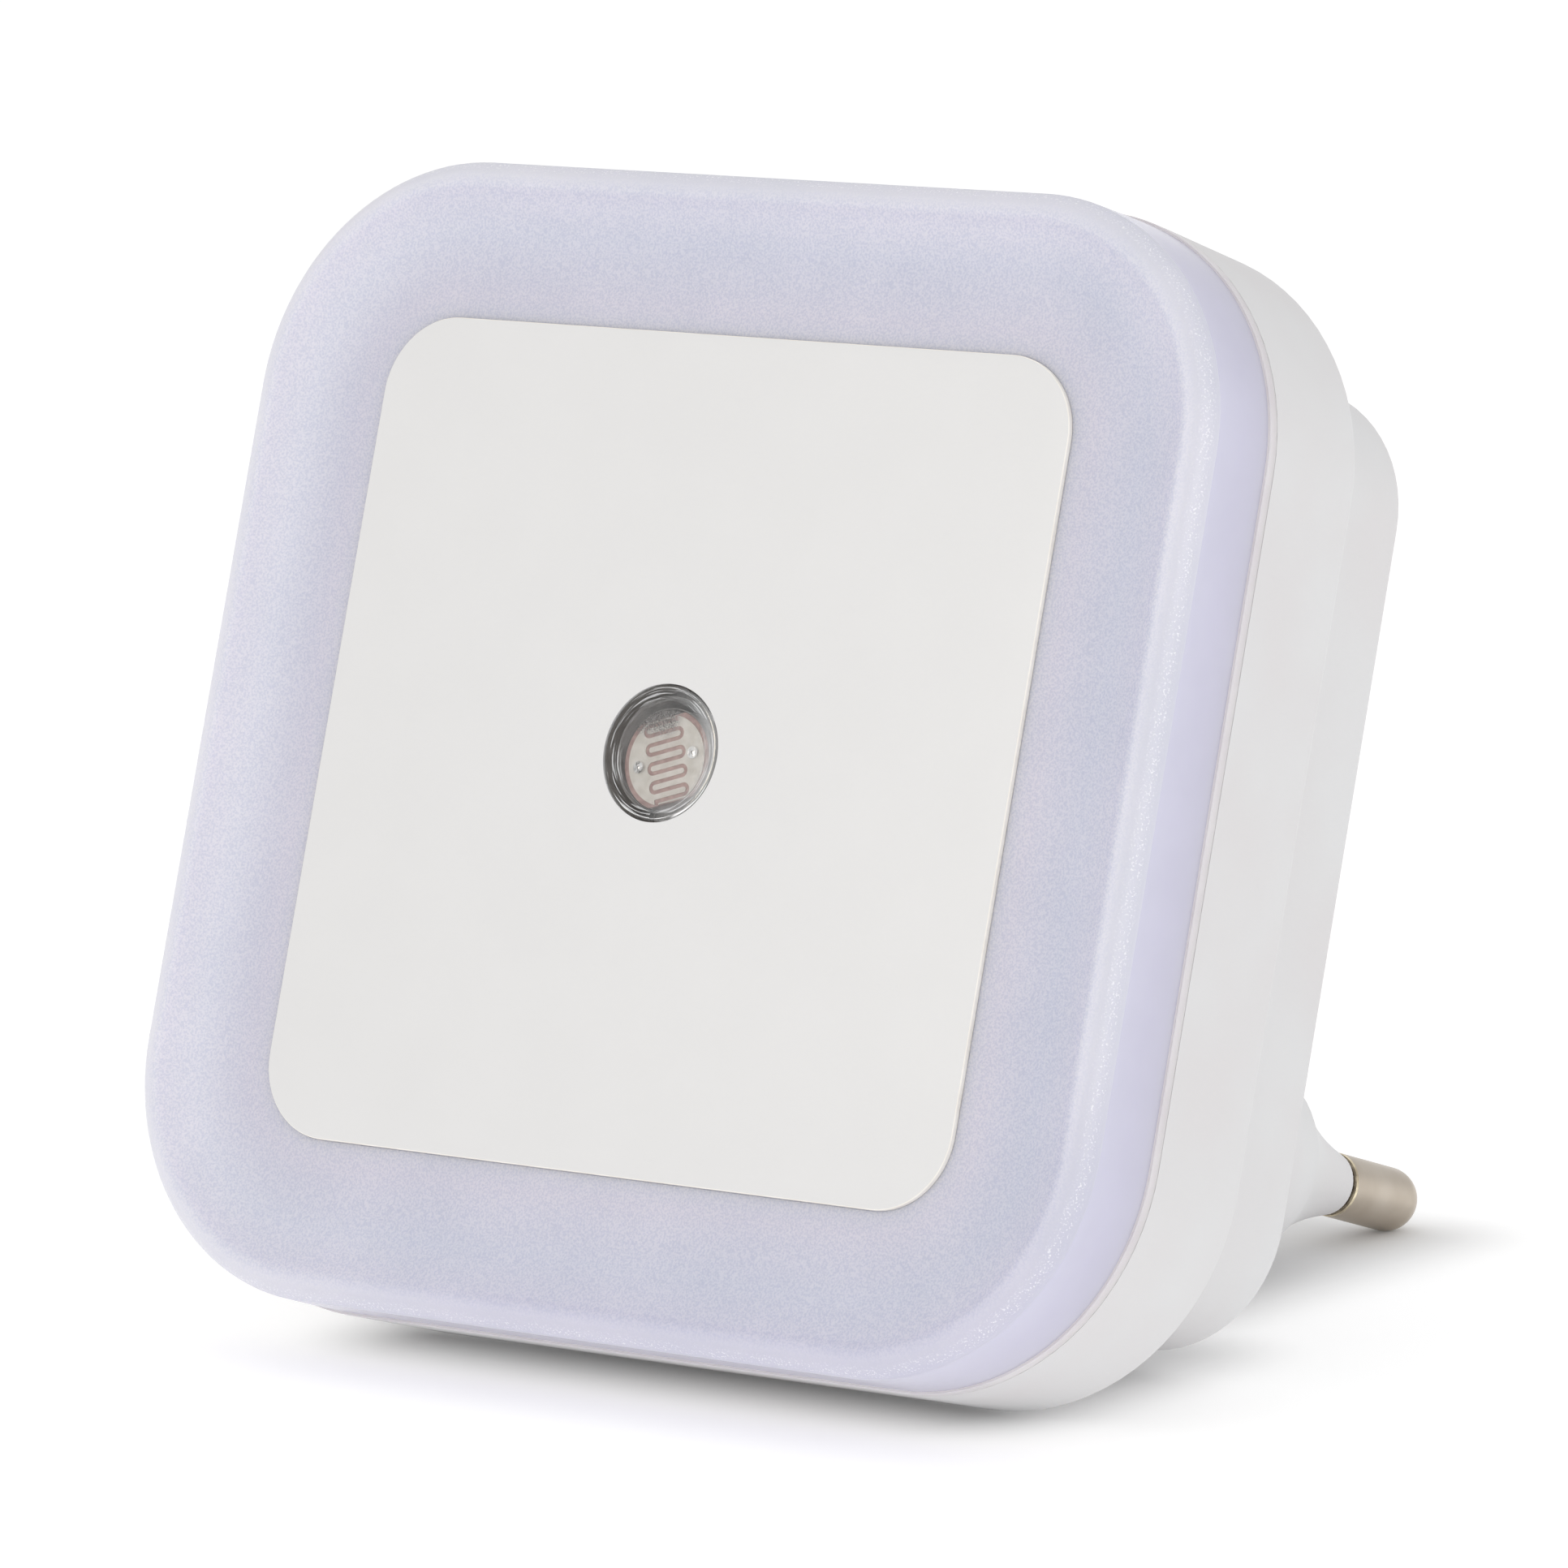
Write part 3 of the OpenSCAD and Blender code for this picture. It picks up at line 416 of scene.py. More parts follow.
def grainedFinish():
    d = diffuser
    material, tree, shader, place, colour, fine = makeFinish("polycarbonateMilkyGrained")
    # distance from the middle part of the outline, so that the tint and its painted highlight bands follow
    # the round corners
    straight = flangeHalf - d["corner"]
    reach = pastBox(tree, place, "XZ", (0.0, faceZ), (straight, straight))
    share = addNode(tree, "ShaderNodeMapRange", {
        "Value": reach, "From Min": d["corner"] * mm, "From Max": (d["corner"] - d["runWidth"]) * mm
    }).outputs["Result"]
    run = addNode(tree, "ShaderNodeValToRGB", {"Fac": share}, d["tintAndHighlightRun"]).outputs["Color"]
    # painted light, as from the right: the left's outer part and the top stay paler, the rest is a shade
    # deeper
    across = addNode(tree, "ShaderNodeSeparateXYZ", {"Vector": place}).outputs["X"]
    left = addNode(tree, "ShaderNodeMapRange", {
        "Value": across, "From Min": d["deepTo"] * mm, "From Max": d["deepFrom"] * mm
    }).outputs["Result"]
    band = addNode(tree, "ShaderNodeValToRGB", {"Fac": share}, d["paleRun"]).outputs["Color"]
    pale = addNode(tree, "ShaderNodeMath", {0: left, 1: band}, operation="MULTIPLY").outputs["Value"]
    height = addNode(tree, "ShaderNodeSeparateXYZ", {"Vector": place}).outputs["Z"]
    high = addNode(tree, "ShaderNodeMapRange", {
        "Value": height, "From Min": d["overFrom"] * mm, "From Max": d["overTo"] * mm
    }).outputs["Result"]
    band = addNode(tree, "ShaderNodeValToRGB", {"Fac": share}, d["over"]).outputs["Color"]
    over = addNode(tree, "ShaderNodeMath", {0: high, 1: band}, operation="MULTIPLY").outputs["Value"]
    pale = addNode(tree, "ShaderNodeMath", {0: pale, 1: over}, operation="MAXIMUM").outputs["Value"]
    deep = addNode(tree, "ShaderNodeMixRGB", {
        "Fac": pale, "Color1": toLinear(d["deep"]), "Color2": toLinear(d["pale"])
    })
    run = addNode(tree, "ShaderNodeMixRGB", {
        "Fac": 1.0, "Color1": run, "Color2": deep.outputs["Color"]
    }, blend_type="MULTIPLY").outputs["Color"]
    # painted shade along the bottom roll
    low = addNode(tree, "ShaderNodeMapRange", {
        "Value": height, "From Min": d["underFrom"] * mm, "From Max": d["underTo"] * mm
    }).outputs["Result"]
    rolled = addNode(tree, "ShaderNodeMapRange", {
        "Value": share, "From Min": d["rollEnd"][0], "From Max": d["rollEnd"][1]
    }).outputs["Result"]
    under = addNode(tree, "ShaderNodeMath", {0: low, 1: rolled}, operation="MULTIPLY").outputs["Value"]
    under = addNode(tree, "ShaderNodeMath", {
        0: under, 1: left
    }, operation="SUBTRACT", use_clamp=True).outputs["Value"]
    run = addNode(tree, "ShaderNodeMixRGB", {
        "Fac": under, "Color1": run, "Color2": toLinear(d["under"])
    }, blend_type="MULTIPLY").outputs["Color"]
    clouds = addNode(tree, "ShaderNodeMixRGB", {
        "Fac": 1.0, "Color1": run, "Color2": colour
    }, blend_type="MULTIPLY")
    # painted shade in the grain's pits
    pits = addNode(tree, "ShaderNodeValToRGB", {"Fac": fine}, d["pits"])
    strength = addNode(tree, "ShaderNodeMapRange", {
        "Value": share, "From Min": d["grainFrom"], "From Max": d["grainTo"], "To Min": d["grainLeast"]
    }).outputs["Result"]
    bump = shader.inputs["Normal"].links[0].from_node
    tree.links.new(strength, bump.inputs["Strength"])
    grained = addNode(tree, "ShaderNodeMixRGB", {
        "Fac": strength, "Color1": clouds.outputs["Color"], "Color2": pits.outputs["Color"]
    }, blend_type="MULTIPLY")
    # painted sparkle on a few grain tops where the roll meets the wall
    tops = addNode(tree, "ShaderNodeMapRange", {
        "Value": fine, "From Min": d["tops"][0], "From Max": d["tops"][1]
    }).outputs["Result"]
    softStart, softStop = d["sparkleSoft"]
    start = addNode(tree, "ShaderNodeMapRange", {
        "Value": share, "From Min": d["sparkleFrom"], "From Max": d["sparkleFrom"] + softStart
    }).outputs["Result"]
    stop = addNode(tree, "ShaderNodeMapRange", {
        "Value": share, "From Min": d["sparkleTo"], "From Max": d["sparkleTo"] - softStop,
        "To Max": d["sparkle"]
    }).outputs["Result"]
    band = addNode(tree, "ShaderNodeMath", {0: start, 1: stop}, operation="MULTIPLY").outputs["Value"]
    lit = addNode(tree, "ShaderNodeMath", {0: tops, 1: band}, operation="MULTIPLY").outputs["Value"]
    shown = addNode(tree, "ShaderNodeMixRGB", {
        "Fac": lit, "Color1": grained.outputs["Color"], "Color2": toLinear(d["sparkleHex"])
    })
    tree.links.new(shown.outputs["Color"], shader.inputs["Base Color"])
    return material


def polishedFinish():
    d = diffuser
    material, tree, shader, place, colour = makeFinish("polycarbonateMilkyPolished")[:5]
    # painted shade: the wall darker towards the housing
    depth = addNode(tree, "ShaderNodeSeparateXYZ", {"Vector": place}).outputs["Y"]
    share = addNode(tree, "ShaderNodeMapRange", {
        "Value": depth, "From Min": (seamY - d["fallFrom"]) * mm, "From Max": (seamY - d["fallTo"]) * mm
    }).outputs["Result"]
    fall = addNode(tree, "ShaderNodeValToRGB", {"Fac": share}, d["fall"])
    shown = addNode(tree, "ShaderNodeMixRGB", {
        "Fac": 1.0, "Color1": colour, "Color2": fall.outputs["Color"]
    }, blend_type="MULTIPLY")
    tree.links.new(shown.outputs["Color"], shader.inputs["Base Color"])
    return material


def makeDiffuser():
    d = diffuser
    piece = startSquare("diffuserFrame", flangeHalf, d["corner"], seamY + d["seamFill"],
                        [grainedFinish(), polishedFinish(), makeFinish("polycarbonateMilkyThin")[0]])
    total = d["depth"] + d["seamFill"]
    wallHalf = flangeHalf - d["flangeStep"]
    soft = d["softEdge"]
    flange = d["flange"] + d["seamFill"]
    stepAlong([(flangeHalf, 0), (flangeHalf, flange - soft), (flangeHalf - soft, flange),
               (wallHalf + soft, flange), (wallHalf, flange + soft)], 2)
    rollMid = (wallHalf - d["rollRadius"], total + d["rise"] - d["rollRadius"])
    crown = [(wallHalf, flange + soft)] + [(wallHalf - lean, rise) for lean, rise in d["wallLean"]]
    crown.append((wallHalf - d["leanAtRoll"], rollMid[1]))
    stepAlong(crown, 1)
    roll = arc(*rollMid, d["rollRadius"], 0, 90, d["rollSteps"])
    dish = [i / d["dishSteps"] for i in range(d["dishSteps"] + 1)]
    top, fall = roll[-1][0], d["rise"] + d["proud"]
    slope = [(top - (top - d["dishHalf"]) * t, total + d["rise"] - fall * (1 - (1 - t) ** d["dishPower"]))
             for t in dish]
    stepAlong([crown[-1]] + roll[1:] + slope[1:], 0)
    pocketHalf = panelHalf + d["pocketRoom"]
    lip = total - d["proud"]
    stepAlong([slope[-1], (pocketHalf + soft, lip), (pocketHalf, lip - soft),
               (pocketHalf, total - d["pocketDepth"])])
    closeBack()
    step(d["skirtRoom"], 0, 2)
    step(0, d["skirt"] - d["seamFill"])
    step(flangeHalf - d["skirtRoom"] - (wallHalf - d["wall"]), 0)
    step(0, -(d["skirt"] + d["depth"] - d["pocketDepth"] - d["web"]))
    drill(piece, frontPlate["hole"], 0, faceZ, faceY - d["drillBefore"], faceY + d["drillBehind"])
    endPiece(piece, "diffuser_frame", d["smoothDeg"])


# front plate: a flat white plate let into the diffuser, 0.3 mm proud of its margin

frontPlate = {"corner": 4.7, "thickness": 1.0, "edgeBreak": 0.1, "edgeSteps": 4, "hole": 4.03,
              "drillBefore": 1, "drillBehind": 2,
              # the edge with the painted highlight: faces whose normal has more y than this, and no further
              # back than that
              "highlightNormal": -0.97, "highlightDepth": 0.9}


def makeFrontPlate():
    p = frontPlate
    piece = startSquare("frontPlate", panelHalf, p["corner"], faceY + p["thickness"],
                        [makeFinish("absWhiteSatin")[0], makeFinish("absWhiteEdgeHighlighted")[0]])
    edge = arc(panelHalf - p["edgeBreak"], p["thickness"] - p["edgeBreak"], p["edgeBreak"], 0, 90,
               p["edgeSteps"])
    stepAlong([(panelHalf, 0)] + edge)
    closeBack()
    drill(piece, p["hole"], 0, faceZ, faceY - p["drillBefore"], faceY + p["drillBehind"])
    # the broken edge takes the painted highlight
    inside = (panelHalf - p["corner"]) * mm
    selectFaces(piece, lambda face: face.normal.y > p["highlightNormal"]
                and face.center.y < (faceY + p["highlightDepth"]) * mm
                and max(abs(face.center.x), abs(face.center.z - faceZ * mm)) > inside)
    piece.active_material_index = 1
    bpy.ops.object.material_slot_assign()
    endPiece(piece, "front_panel")


# window over the light sensor: a clear cup with a flange behind the web

window = {"radius": 4.0, "flangeRadius": 5.0, "flange": 0.6, "wall": 0.6, "pane": 0.5, "edgeBreak": 0.25,
          "edgeSteps": 6,
          # the pane bows in a little: radius, how far behind the face
          "bow": [(3.3, 0.005), (2.4, 0.012), (1.2, 0.018)],
          # streaks: radius where they set in, the part of their noise that shows and how much, and how
          # fine the noise is along the radius and round the rim
          "streakFrom": 2.95, "streakTo": 3.3, "streakCut": (0.54, 0.64), "streakShow": 0.8,
          "streaksPerMm": 7, "streakNoise": 1.3, "streakDetail": 4.0,
          # painted light on the rim: how much of a white veil, and x where it sets in and where it is full
          "rimLight": 0.42, "rimLightFrom": -1.5, "rimLightTo": 3,
          # which faces are back and wall, by their normal and with some room
          "backNormal": 0.9, "backRoom": 0.01, "wallNormal": 0.3, "wallRoom": 0.02}


def streakedFinish():
    w = window
    material, tree, shader, place = makeFinish("acrylicClear")[:4]
    apart = addNode(tree, "ShaderNodeSeparateXYZ", {"Vector": place})
    up = addNode(tree, "ShaderNodeMath", {
        0: apart.outputs["Z"], 1: faceZ * mm
    }, operation="SUBTRACT").outputs["Value"]
    angle = addNode(tree, "ShaderNodeMath", {
        0: apart.outputs["X"], 1: up
    }, operation="ARCTAN2").outputs["Value"]
    reach = pastBox(tree, place, "XZ", (0.0, faceZ), (0.0, 0.0))
    # streaks run round the rim: long in angle, thin in radius
    thin = addNode(tree, "ShaderNodeMath", {
        0: reach, 1: w["streaksPerMm"] / mm
    }, operation="MULTIPLY").outputs["Value"]
    drawn = addNode(tree, "ShaderNodeCombineXYZ", {"X": angle, "Y": thin}).outputs["Vector"]
    lines = addNode(tree, "ShaderNodeTexNoise", {
        "Vector": drawn, "Scale": w["streakNoise"], "Detail": w["streakDetail"]
    }).outputs["Fac"]
    low, high = w["streakCut"]
    bright = addNode(tree, "ShaderNodeMapRange", {"Value": lines, "From Min": low, "From Max": high})
    rim = addNode(tree, "ShaderNodeMapRange", {
        "Value": reach, "From Min": w["streakFrom"] * mm, "From Max": w["streakTo"] * mm,
        "To Max": w["streakShow"]
    }).outputs["Result"]
    streaks = addNode(tree, "ShaderNodeMath", {
        0: bright.outputs["Result"], 1: rim
    }, operation="MULTIPLY").outputs["Value"]
    # painted light: a white veil on the rim's right side, for the light the rim takes in from that side
    side = addNode(tree, "ShaderNodeMapRange", {
        "Value": apart.outputs["X"], "From Min": w["rimLightFrom"] * mm, "From Max": w["rimLightTo"] * mm,
        "To Max": w["rimLight"]
    }).outputs["Result"]
    rimLight = addNode(tree, "ShaderNodeMath", {0: side, 1: rim}, operation="MULTIPLY").outputs["Value"]
    marks = addNode(tree, "ShaderNodeMath", {0: rimLight, 1: streaks}, operation="ADD").outputs["Value"]
    gloss = shader.inputs["Alpha"].links[0].from_socket
    shown = addNode(tree, "ShaderNodeMath", {0: gloss, 1: marks}, operation="MAXIMUM")
    tree.links.new(shown.outputs["Value"], shader.inputs["Alpha"])
    return material


def makeWindow():
    w = window
    back = boxOf("sensor_window")[1].y
    piece = startRound("sensorWindow", w["flangeRadius"], 0, back, faceZ, -1,
                       [streakedFinish(), makeFinish("acrylicEdge")[0]])
    rim = arc(w["radius"] - w["edgeBreak"], 0, w["edgeBreak"], 0, 90, w["edgeSteps"])
    outer = [(w["flangeRadius"], back), (w["flangeRadius"], back - w["flange"]),
             (w["radius"], back - w["flange"])]
    outer += [(r, faceY + w["edgeBreak"] - rise) for r, rise in rim]
    outer += [(r, faceY + deep) for r, deep in w["bow"]]
    turnAlong(0, faceZ, outer)
    selectFaces(piece, lambda face: face.normal.y > w["backNormal"]
                and face.center.y > (back - w["backRoom"]) * mm)
    step(w["flangeRadius"] - (w["radius"] - w["wall"]), 0)
    step(0, -(back - faceY - w["pane"]))
    # the wall inside and outside takes the painted reflection: what is left is the pane
    inside = (w["radius"] - w["wall"] - w["wallRoom"]) * mm
    selectFaces(piece, lambda face: abs(face.normal.y) < w["wallNormal"]
                and math.hypot(face.center.x, face.center.z - faceZ * mm) > inside)
    piece.active_material_index = 1
    bpy.ops.object.material_slot_assign()
    endPiece(piece, "sensor_window")


# clear epoxy over the front and the side of the sensor, which leaves a clear sickle beside each flat

coat = {"radius": 3.05, "low": 0.3, "front": -51.16, "back": -49.25, "edgeBreak": 0.22, "edgeSteps": 6,
        # the side's faces have less y in their normal than this
        "backBreak": 0.1, "sideNormal": 0.75,
        # it domes: height, then radius with the share of the height that is left to rise
        "dome": 0.06, "domeRun": [(2.2, 0.6), (1.4, 0.2), (0.6, 0.0)],
        # a painted dark reflection across its upper left, speckled: middle x, middle z, half length, reach
        "darkReflection": (-1.3, 16.95, 1.0, 1.25), "darkReflectionHex": "#4F403D", "darkReflectionGrain": 0.12, "darkReflectionDetail": 3.0,
        # share of the reach where it is full, the part of the noise that shows, and how much of it shows
        "darkReflectionCore": 0.2, "darkReflectionCut": (0.4, 0.6), "darkReflectionLeast": 0.1, "darkReflectionShow": 0.95,
        # a painted glint over each lead, where the tinned lead shows through the epoxy: size of the glint
        # and of its soft edge, how much of it shows, and how deep a lead's end reaches
        "glint": 0.28, "glintEdge": 0.14, "glintShow": 0.85, "leadDepth": 0.1}


def leadPlaces():
    # middle of each lead's front end, (x, z)
    points = [v.co / mm for v in cadNodes["sensor_leads"].data.vertices]
    front = min(p.y for p in points)
    sides = [[p for p in points if p.y < front + coat["leadDepth"] and p.x * way > 0] for way in (-1, 1)]
    return [(sum(p.x for p in side) / len(side), sum(p.z for p in side) / len(side)) for side in sides]


def paintedReflectionsFinish():
    c = coat
    material, tree, shader, place, colour = makeFinish("epoxyClear")[:5]
    # painted reflection: a dark speckled patch across the upper left
    x, z, half, size = c["darkReflection"]
    away = pastBox(tree, place, "XZ", (x, z), (half, 0.0))
    near = addNode(tree, "ShaderNodeMapRange", {
        "Value": away, "From Min": size * mm, "From Max": c["darkReflectionCore"] * size * mm
    }, interpolation_type="SMOOTHSTEP").outputs["Result"]
    specks = addNode(tree, "ShaderNodeTexNoise", {
        "Vector": place, "Scale": 1 / (c["darkReflectionGrain"] * mm), "Detail": c["darkReflectionDetail"]
    }).outputs["Fac"]
    broken = addNode(tree, "ShaderNodeMapRange", {
        "Value": specks, "From Min": c["darkReflectionCut"][0], "From Max": c["darkReflectionCut"][1],
        "To Min": c["darkReflectionLeast"], "To Max": c["darkReflectionShow"]
    }).outputs["Result"]
    darkReflection = addNode(tree, "ShaderNodeMath", {0: broken, 1: near}, operation="MULTIPLY").outputs["Value"]
    tint = addNode(tree, "ShaderNodeMixRGB", {
        "Fac": darkReflection, "Color1": colour, "Color2": toLinear(c["darkReflectionHex"])
    })
    tree.links.new(tint.outputs["Color"], shader.inputs["Base Color"])
    metal = addNode(tree, "ShaderNodeMath", {0: 1.0, 1: darkReflection}, operation="SUBTRACT").outputs["Value"]
    tree.links.new(metal, shader.inputs["Metallic"])
    shown = addNode(tree, "ShaderNodeMath", {
        0: shader.inputs["Alpha"].links[0].from_socket, 1: darkReflection
    }, operation="MAXIMUM").outputs["Value"]
    # a painted glint over each lead: the epoxy turns white and mirror-like there
    for lead in leadPlaces():
        off = pastBox(tree, place, "XZ", lead, (0.0, 0.0))
        glint = addNode(tree, "ShaderNodeMapRange", {
            "Value": off, "From Min": (c["glint"] + c["glintEdge"]) * mm, "From Max": c["glint"] * mm,
            "To Max": c["glintShow"]
        }, interpolation_type="SMOOTHSTEP").outputs["Result"]
        shown = addNode(tree, "ShaderNodeMath", {0: shown, 1: glint}, operation="MAXIMUM").outputs["Value"]
    tree.links.new(shown, shader.inputs["Alpha"])
    return material


def makeCoat():
    c = coat
    z = faceZ - c["low"]
    start = c["radius"] - c["backBreak"]
    piece = startRound("sensorCoat", start, 0, c["back"], z, -1,
                       [paintedReflectionsFinish(), makeFinish("epoxyEdge")[0]])
    edge = arc(c["radius"] - c["edgeBreak"], 0, c["edgeBreak"], 0, 90, c["edgeSteps"])
    outline = [(start, c["back"]), (c["radius"], c["back"] - c["backBreak"])]
    outline += [(r, c["front"] + c["dome"] + c["edgeBreak"] - rise) for r, rise in edge]
    outline += [(r, c["front"] + left * c["dome"]) for r, left in c["domeRun"]]
    turnAlong(0, z, outline)
    # the side takes the painted reflection of the tent
    selectFaces(piece, lambda face: abs(face.normal.y) < c["sideNormal"])
    piece.active_material_index = 1
    bpy.ops.object.material_slot_assign()
    endPiece(piece, None)


# plug pins: turned brass, nickel plated, with a neck where the sleeve ends and a tail inside the stem

pin = {"radius": 2.0, "shank": 1.5, "bare": 9.0, "neck": 0.42, "neckBreak": 0.25, "neckSteps": 5,
       "endWall": 3.0, "headRadius": 2.9, "head": 1.2, "tailRadius": 1.1, "tail": 4.0,
       "tipDeg": 88, "tipSteps": 22, "segments": 64, "smoothDeg": 50,
       # share of the neck's shoulder that takes the painted highlight: the rest of it and the neck are bare
       # brass, painted dark for shade
       "highlighted": 0.6}


def makePin(name, node):
    p = pin
    low, high = boxOf(node)
    x, z, end = (low.x + high.x) / 2, (low.z + high.z) / 2, high.y
    start = -p["endWall"] - p["head"] - p["tail"]
    sleeveEnd = end - p["bare"]
    piece = startRound(name, p["tailRadius"], x, start, z, 1,
                       [makeFinish(finish)[0] for finish in ("brassNickelled", "brassBareShaded", "brassHighlightPainted")],
                       p["segments"])
    outline = [(p["tailRadius"], start), (p["tailRadius"], start + p["tail"]),
               (p["headRadius"], start + p["tail"]), (p["headRadius"], -p["endWall"]),
               (p["shank"], -p["endWall"]), (p["shank"], sleeveEnd + p["neck"])]
    shoulder = arc(p["radius"] - p["neckBreak"], 0, p["neckBreak"], -90, 0, p["neckSteps"])
    outline += [(r, sleeveEnd + p["neck"] + p["neckBreak"] + rise) for r, rise in shoulder]
    tip = arc(0, 0, p["radius"], 0, p["tipDeg"], p["tipSteps"])
    outline += [(r, end - p["radius"] + rise) for r, rise in tip]
    turnAlong(x, z, outline)
    shoulderEnd = sleeveEnd + p["neck"] + p["neckBreak"]
    # the shoulder's outer part takes the painted highlight, the rest and the neck the bare brass painted
    # dark for shade
    for slot, until in ((2, shoulderEnd), (1, shoulderEnd - p["highlighted"] * p["neckBreak"])):
        selectFaces(piece, lambda face: face.center.y < until * mm)
        piece.active_material_index = slot
        bpy.ops.object.material_slot_assign()
    endPiece(piece, node, p["smoothDeg"])


# rear housing with the plug: the CAD form, its loose triangles joined so that the corners shade round

housing = {"joinWithin": 0.002, "smoothDeg": 32}


def makeHousing():
    source = cadNodes["rear_housing"]
    piece = source.copy()
    piece.data = source.data.copy()
    bpy.context.scene.collection.objects.link(piece)
    piece.parent = None
    for key in list(piece.keys()):
        del piece[key]
    piece.name = "rearHousing"
    piece.data.materials.clear()
    piece.data.materials.append(makeFinish("polycarbonateWhite")[0])
    deselectAll()
    piece.select_set(True)
    bpy.context.view_layer.objects.active = piece
    bpy.ops.object.mode_set(mode="EDIT")
    bpy.ops.mesh.select_all(action="SELECT")
    bpy.ops.mesh.remove_doubles(threshold=housing["joinWithin"] * mm)
    bpy.ops.mesh.customdata_custom_splitnormals_clear()
    endPiece(piece, "rear_housing", housing["smoothDeg"])


# what lies inside keeps its CAD form and gets its real finish

innerFinishes = {
    "sensor_shroud": "polystyreneGrey", "light_sensor": "cadmiumSulphideFired",
    "sensor_electrodes": "indiumEvaporated", "sensor_leads": "copperTinned",
    "circuit_board": "glassEpoxyMasked", "led_lamps": "siliconeFilled",
    "film_capacitor": "epoxyDipped", "smoothing_capacitor": "pvcShrunk",
    "rectifier_diodes": "epoxyMoulded", "switching_transistor": "epoxyMoulded",
    "zener_diode": "glassSealed", "fuse_resistor": "lacquerFlameproof",
    "bleed_resistor": "lacquerTan", "chip_resistors": "aluminaGlazed",
    "live_wire": "pvcBrown", "neutral_wire": "pvcBlue",
    "pin_tags": "brassStamped", "board_screws": "steelZincPlated",
}


def dressNodes():
    for name, finish in innerFinishes.items():
        node = cadNodes[name]
        node.data.materials.clear()
        node.data.materials.append(bpy.data.materials.get(finish) or makeFinish(finish)[0])
    print("finishes on", len(innerFinishes), "inner nodes")


makeDiffuser()
makeFrontPlate()
makeWindow()
makeCoat()
makePin("plugPinLeft", "plug_pin_left")
makePin("plugPinRight", "plug_pin_right")
makeHousing()
dressNodes()

# studio: the light stands on its housing's lower edge and the pin tips

studio = {
    "floorTilt": 17.41, "floorHalf": 3.0, "target": (0, -25, 12),
    # the tent's cloth from the table's level up to the top, and its radiance
    "tent": [(0.0, "#FFFFFF"), (0.1, "#FFFFFF"), (0.28, "#DBDBDB"), (1.0, "#F0F0F0")], "tentStrength": 1.03,
    # painted shadow: the table's glow is dimmed over the two patches that the object covers: middle and half
    # sizes of each, their soft edge, glow inside and outside
    "shadowPatches": [((-1, -31), (19, 9)), ((0, -4), (11, 19))], "glowEdge": 10, "glow": (0.05, 0.36),
    "cameraAt": (348.9, -518.35, -40.75), "azimuth": 36.07, "elevation": -5.41, "roll": 9.59,
    "lens": 235.25, "sensorWidth": 36.0, "clip": (0.01, 100.0),
    "lamps": [
        {"name": "frontLamp", "azimuth": -12, "height": 6, "far": 0.8, "size": 0.4, "power": 0.88,
         "hex": "#FFF6E4"},
        {"name": "sideLamp", "azimuth": 68, "height": 14, "far": 0.8, "size": 0.5, "power": 0.65,
         "hex": "#FFFFFF"},
    ],
}


def floorNormal():
    tilt = math.radians(studio["floorTilt"])
    return Vector((0, -math.sin(tilt), math.cos(tilt)))


def makeFloor():
    tilt = math.radians(studio["floorTilt"])
    normal = floorNormal()
    lowest = min(normal @ v.co for node in cadNodes.values() for v in node.data.vertices)
    deselectAll()
    bpy.ops.mesh.primitive_plane_add(
        size=2 * studio["floorHalf"], location=normal * lowest, rotation=(tilt, 0, 0)
    )
    floor = bpy.context.object
    floor.name = "floor"
    material, tree, shader, place = makeFinish("acrylicOpalLit")[:4]
    # painted shadow: the glow drops over the patches beneath the object
    away = [pastBox(tree, place, "XY", middle, half) for middle, half in studio["shadowPatches"]]
    nearest = addNode(tree, "ShaderNodeMath", {
        0: away[0], 1: away[1]
    }, operation="MINIMUM").outputs["Value"]
    glow = addNode(tree, "ShaderNodeMapRange", {
        "Value": nearest, "From Min": 0.0, "From Max": studio["glowEdge"] * mm,
        "To Min": studio["glow"][0], "To Max": studio["glow"][1]
    }, interpolation_type="SMOOTHSTEP")
    tree.links.new(glow.outputs["Result"], shader.inputs["Emission Strength"])
    floor.data.materials.append(material)
    print("floor", round(lowest / mm, 2), "mm along its normal")


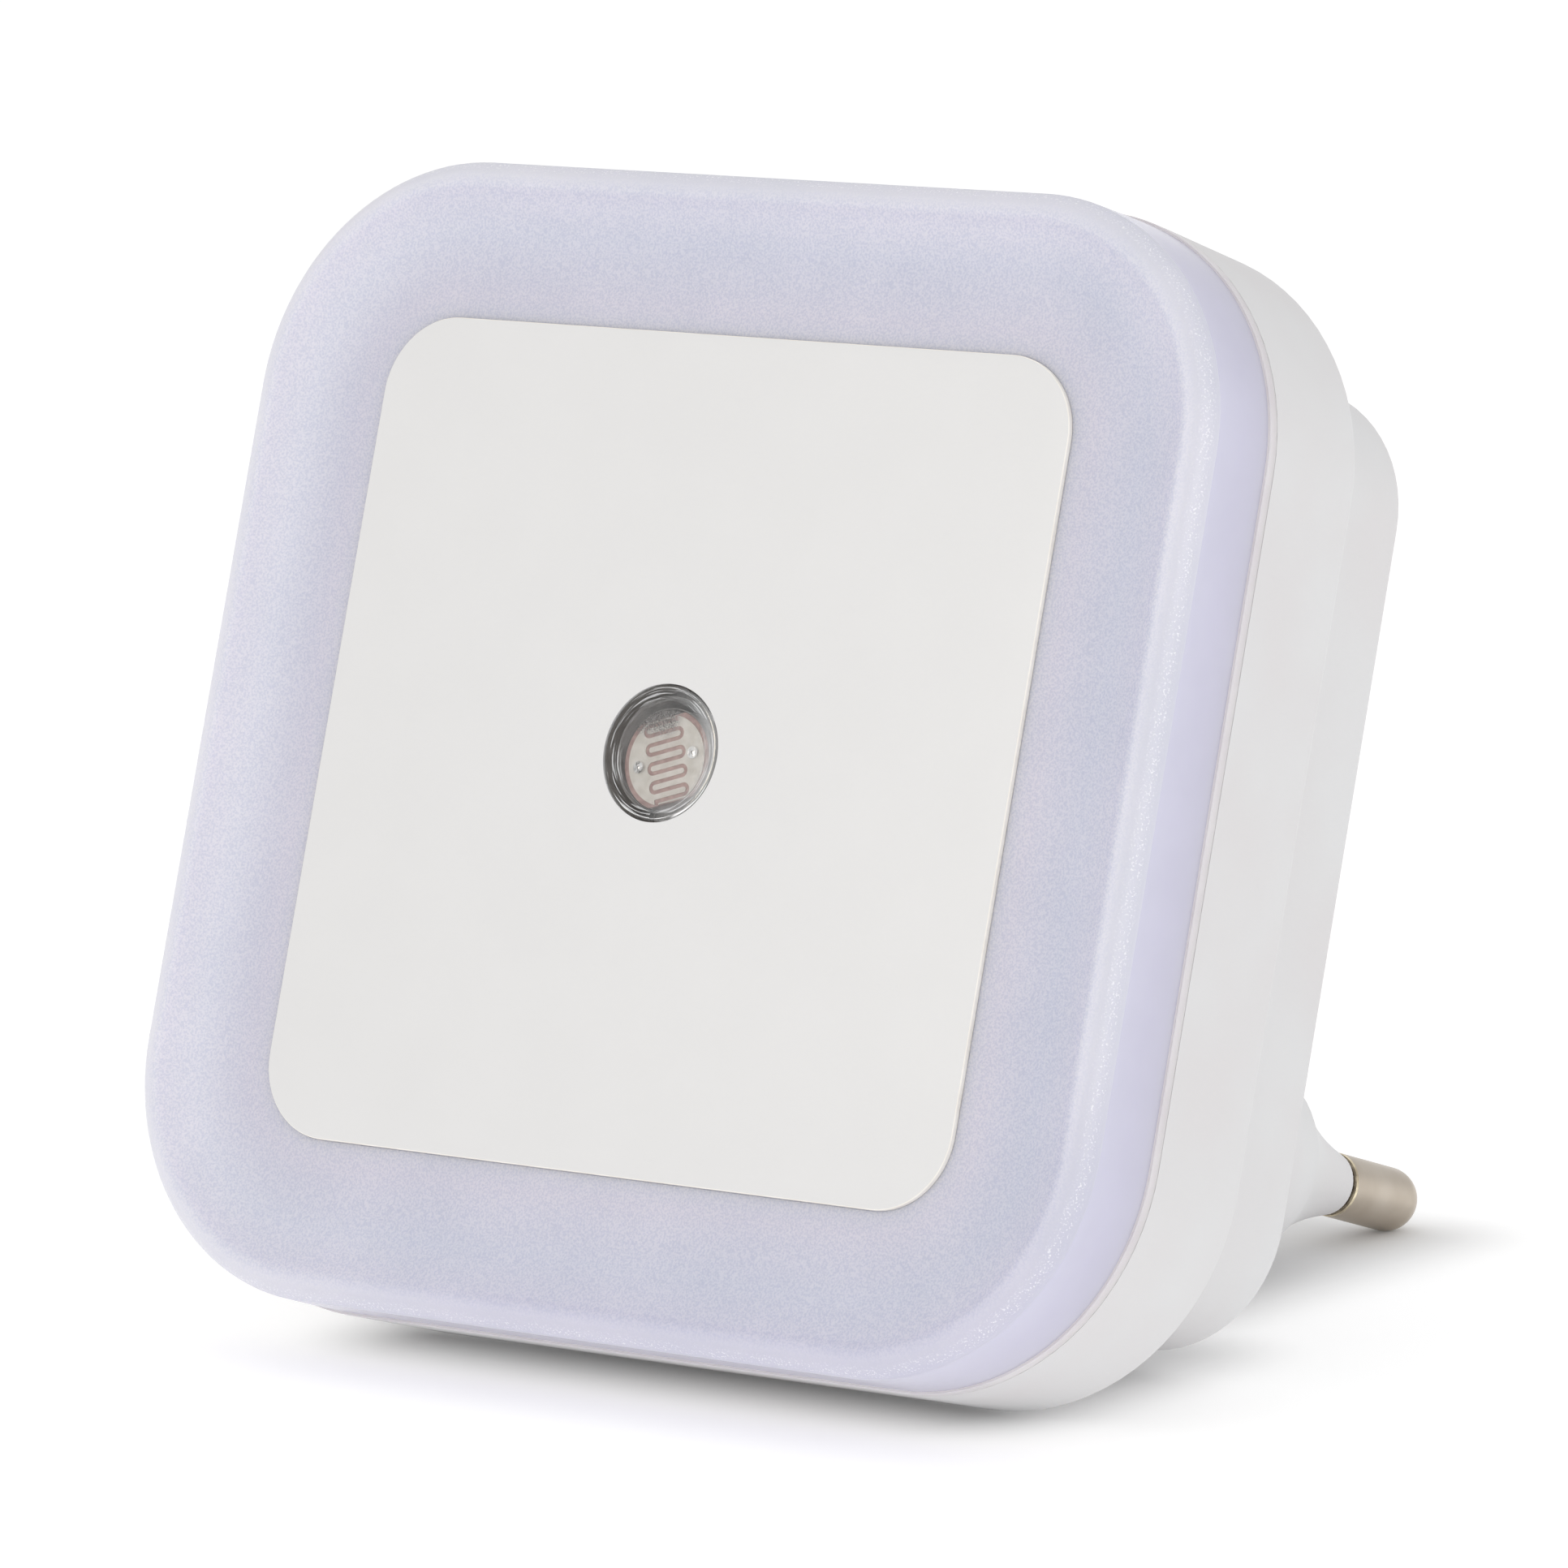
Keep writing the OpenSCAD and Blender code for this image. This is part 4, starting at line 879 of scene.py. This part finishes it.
def makeSurround():
    scene = bpy.context.scene
    world = bpy.data.worlds.new("whiteTent")
    scene.world = world
    world.use_nodes = True
    world.node_tree.nodes.clear()
    tree = world.node_tree
    way = addNode(tree, "ShaderNodeTexCoord").outputs["Generated"]
    height = addNode(tree, "ShaderNodeVectorMath", {
        0: way, 1: floorNormal()
    }, operation="DOT_PRODUCT").outputs["Value"]
    cloth = addNode(tree, "ShaderNodeValToRGB", {"Fac": height}, studio["tent"])
    light = addNode(tree, "ShaderNodeBackground", {
        "Color": cloth.outputs["Color"], "Strength": studio["tentStrength"]
    })
    addNode(tree, "ShaderNodeOutputWorld", {"Surface": light.outputs["Background"]})
    scene.view_settings.view_transform = "Standard"


def makeLamps():
    target = Vector(studio["target"]) * mm
    for lamp in studio["lamps"]:
        data = bpy.data.lights.new(lamp["name"], "AREA")
        data.size, data.energy, data.color = lamp["size"], lamp["power"], toLinear(lamp["hex"])[:3]
        made = bpy.data.objects.new(lamp["name"], data)
        bpy.context.scene.collection.objects.link(made)
        turn, tip = math.radians(lamp["azimuth"]), math.radians(lamp["height"])
        away = Vector((math.sin(turn) * math.cos(tip), -math.cos(turn) * math.cos(tip), math.sin(tip)))
        made.location = target + away * lamp["far"]
        made.rotation_mode = "QUATERNION"
        made.rotation_quaternion = (target - made.location).to_track_quat("-Z", "Y")


def makeCamera():
    data = bpy.data.cameras.new("camera")
    data.lens, data.sensor_width = studio["lens"], studio["sensorWidth"]
    data.clip_start, data.clip_end = studio["clip"]
    made = bpy.data.objects.new("camera", data)
    bpy.context.scene.collection.objects.link(made)
    turn = Matrix.Rotation(math.radians(studio["azimuth"]), 4, "Z")
    tip = Matrix.Rotation(math.radians(90 - studio["elevation"]), 4, "X")
    roll = Matrix.Rotation(math.radians(studio["roll"]), 4, "Z")
    made.matrix_world = Matrix.Translation(Vector(studio["cameraAt"]) * mm) @ turn @ tip @ roll
    bpy.context.scene.camera = made


makeFloor()
makeSurround()
makeLamps()
makeCamera()
print("floor, light and camera ready")

bpy.context.view_layer.update()
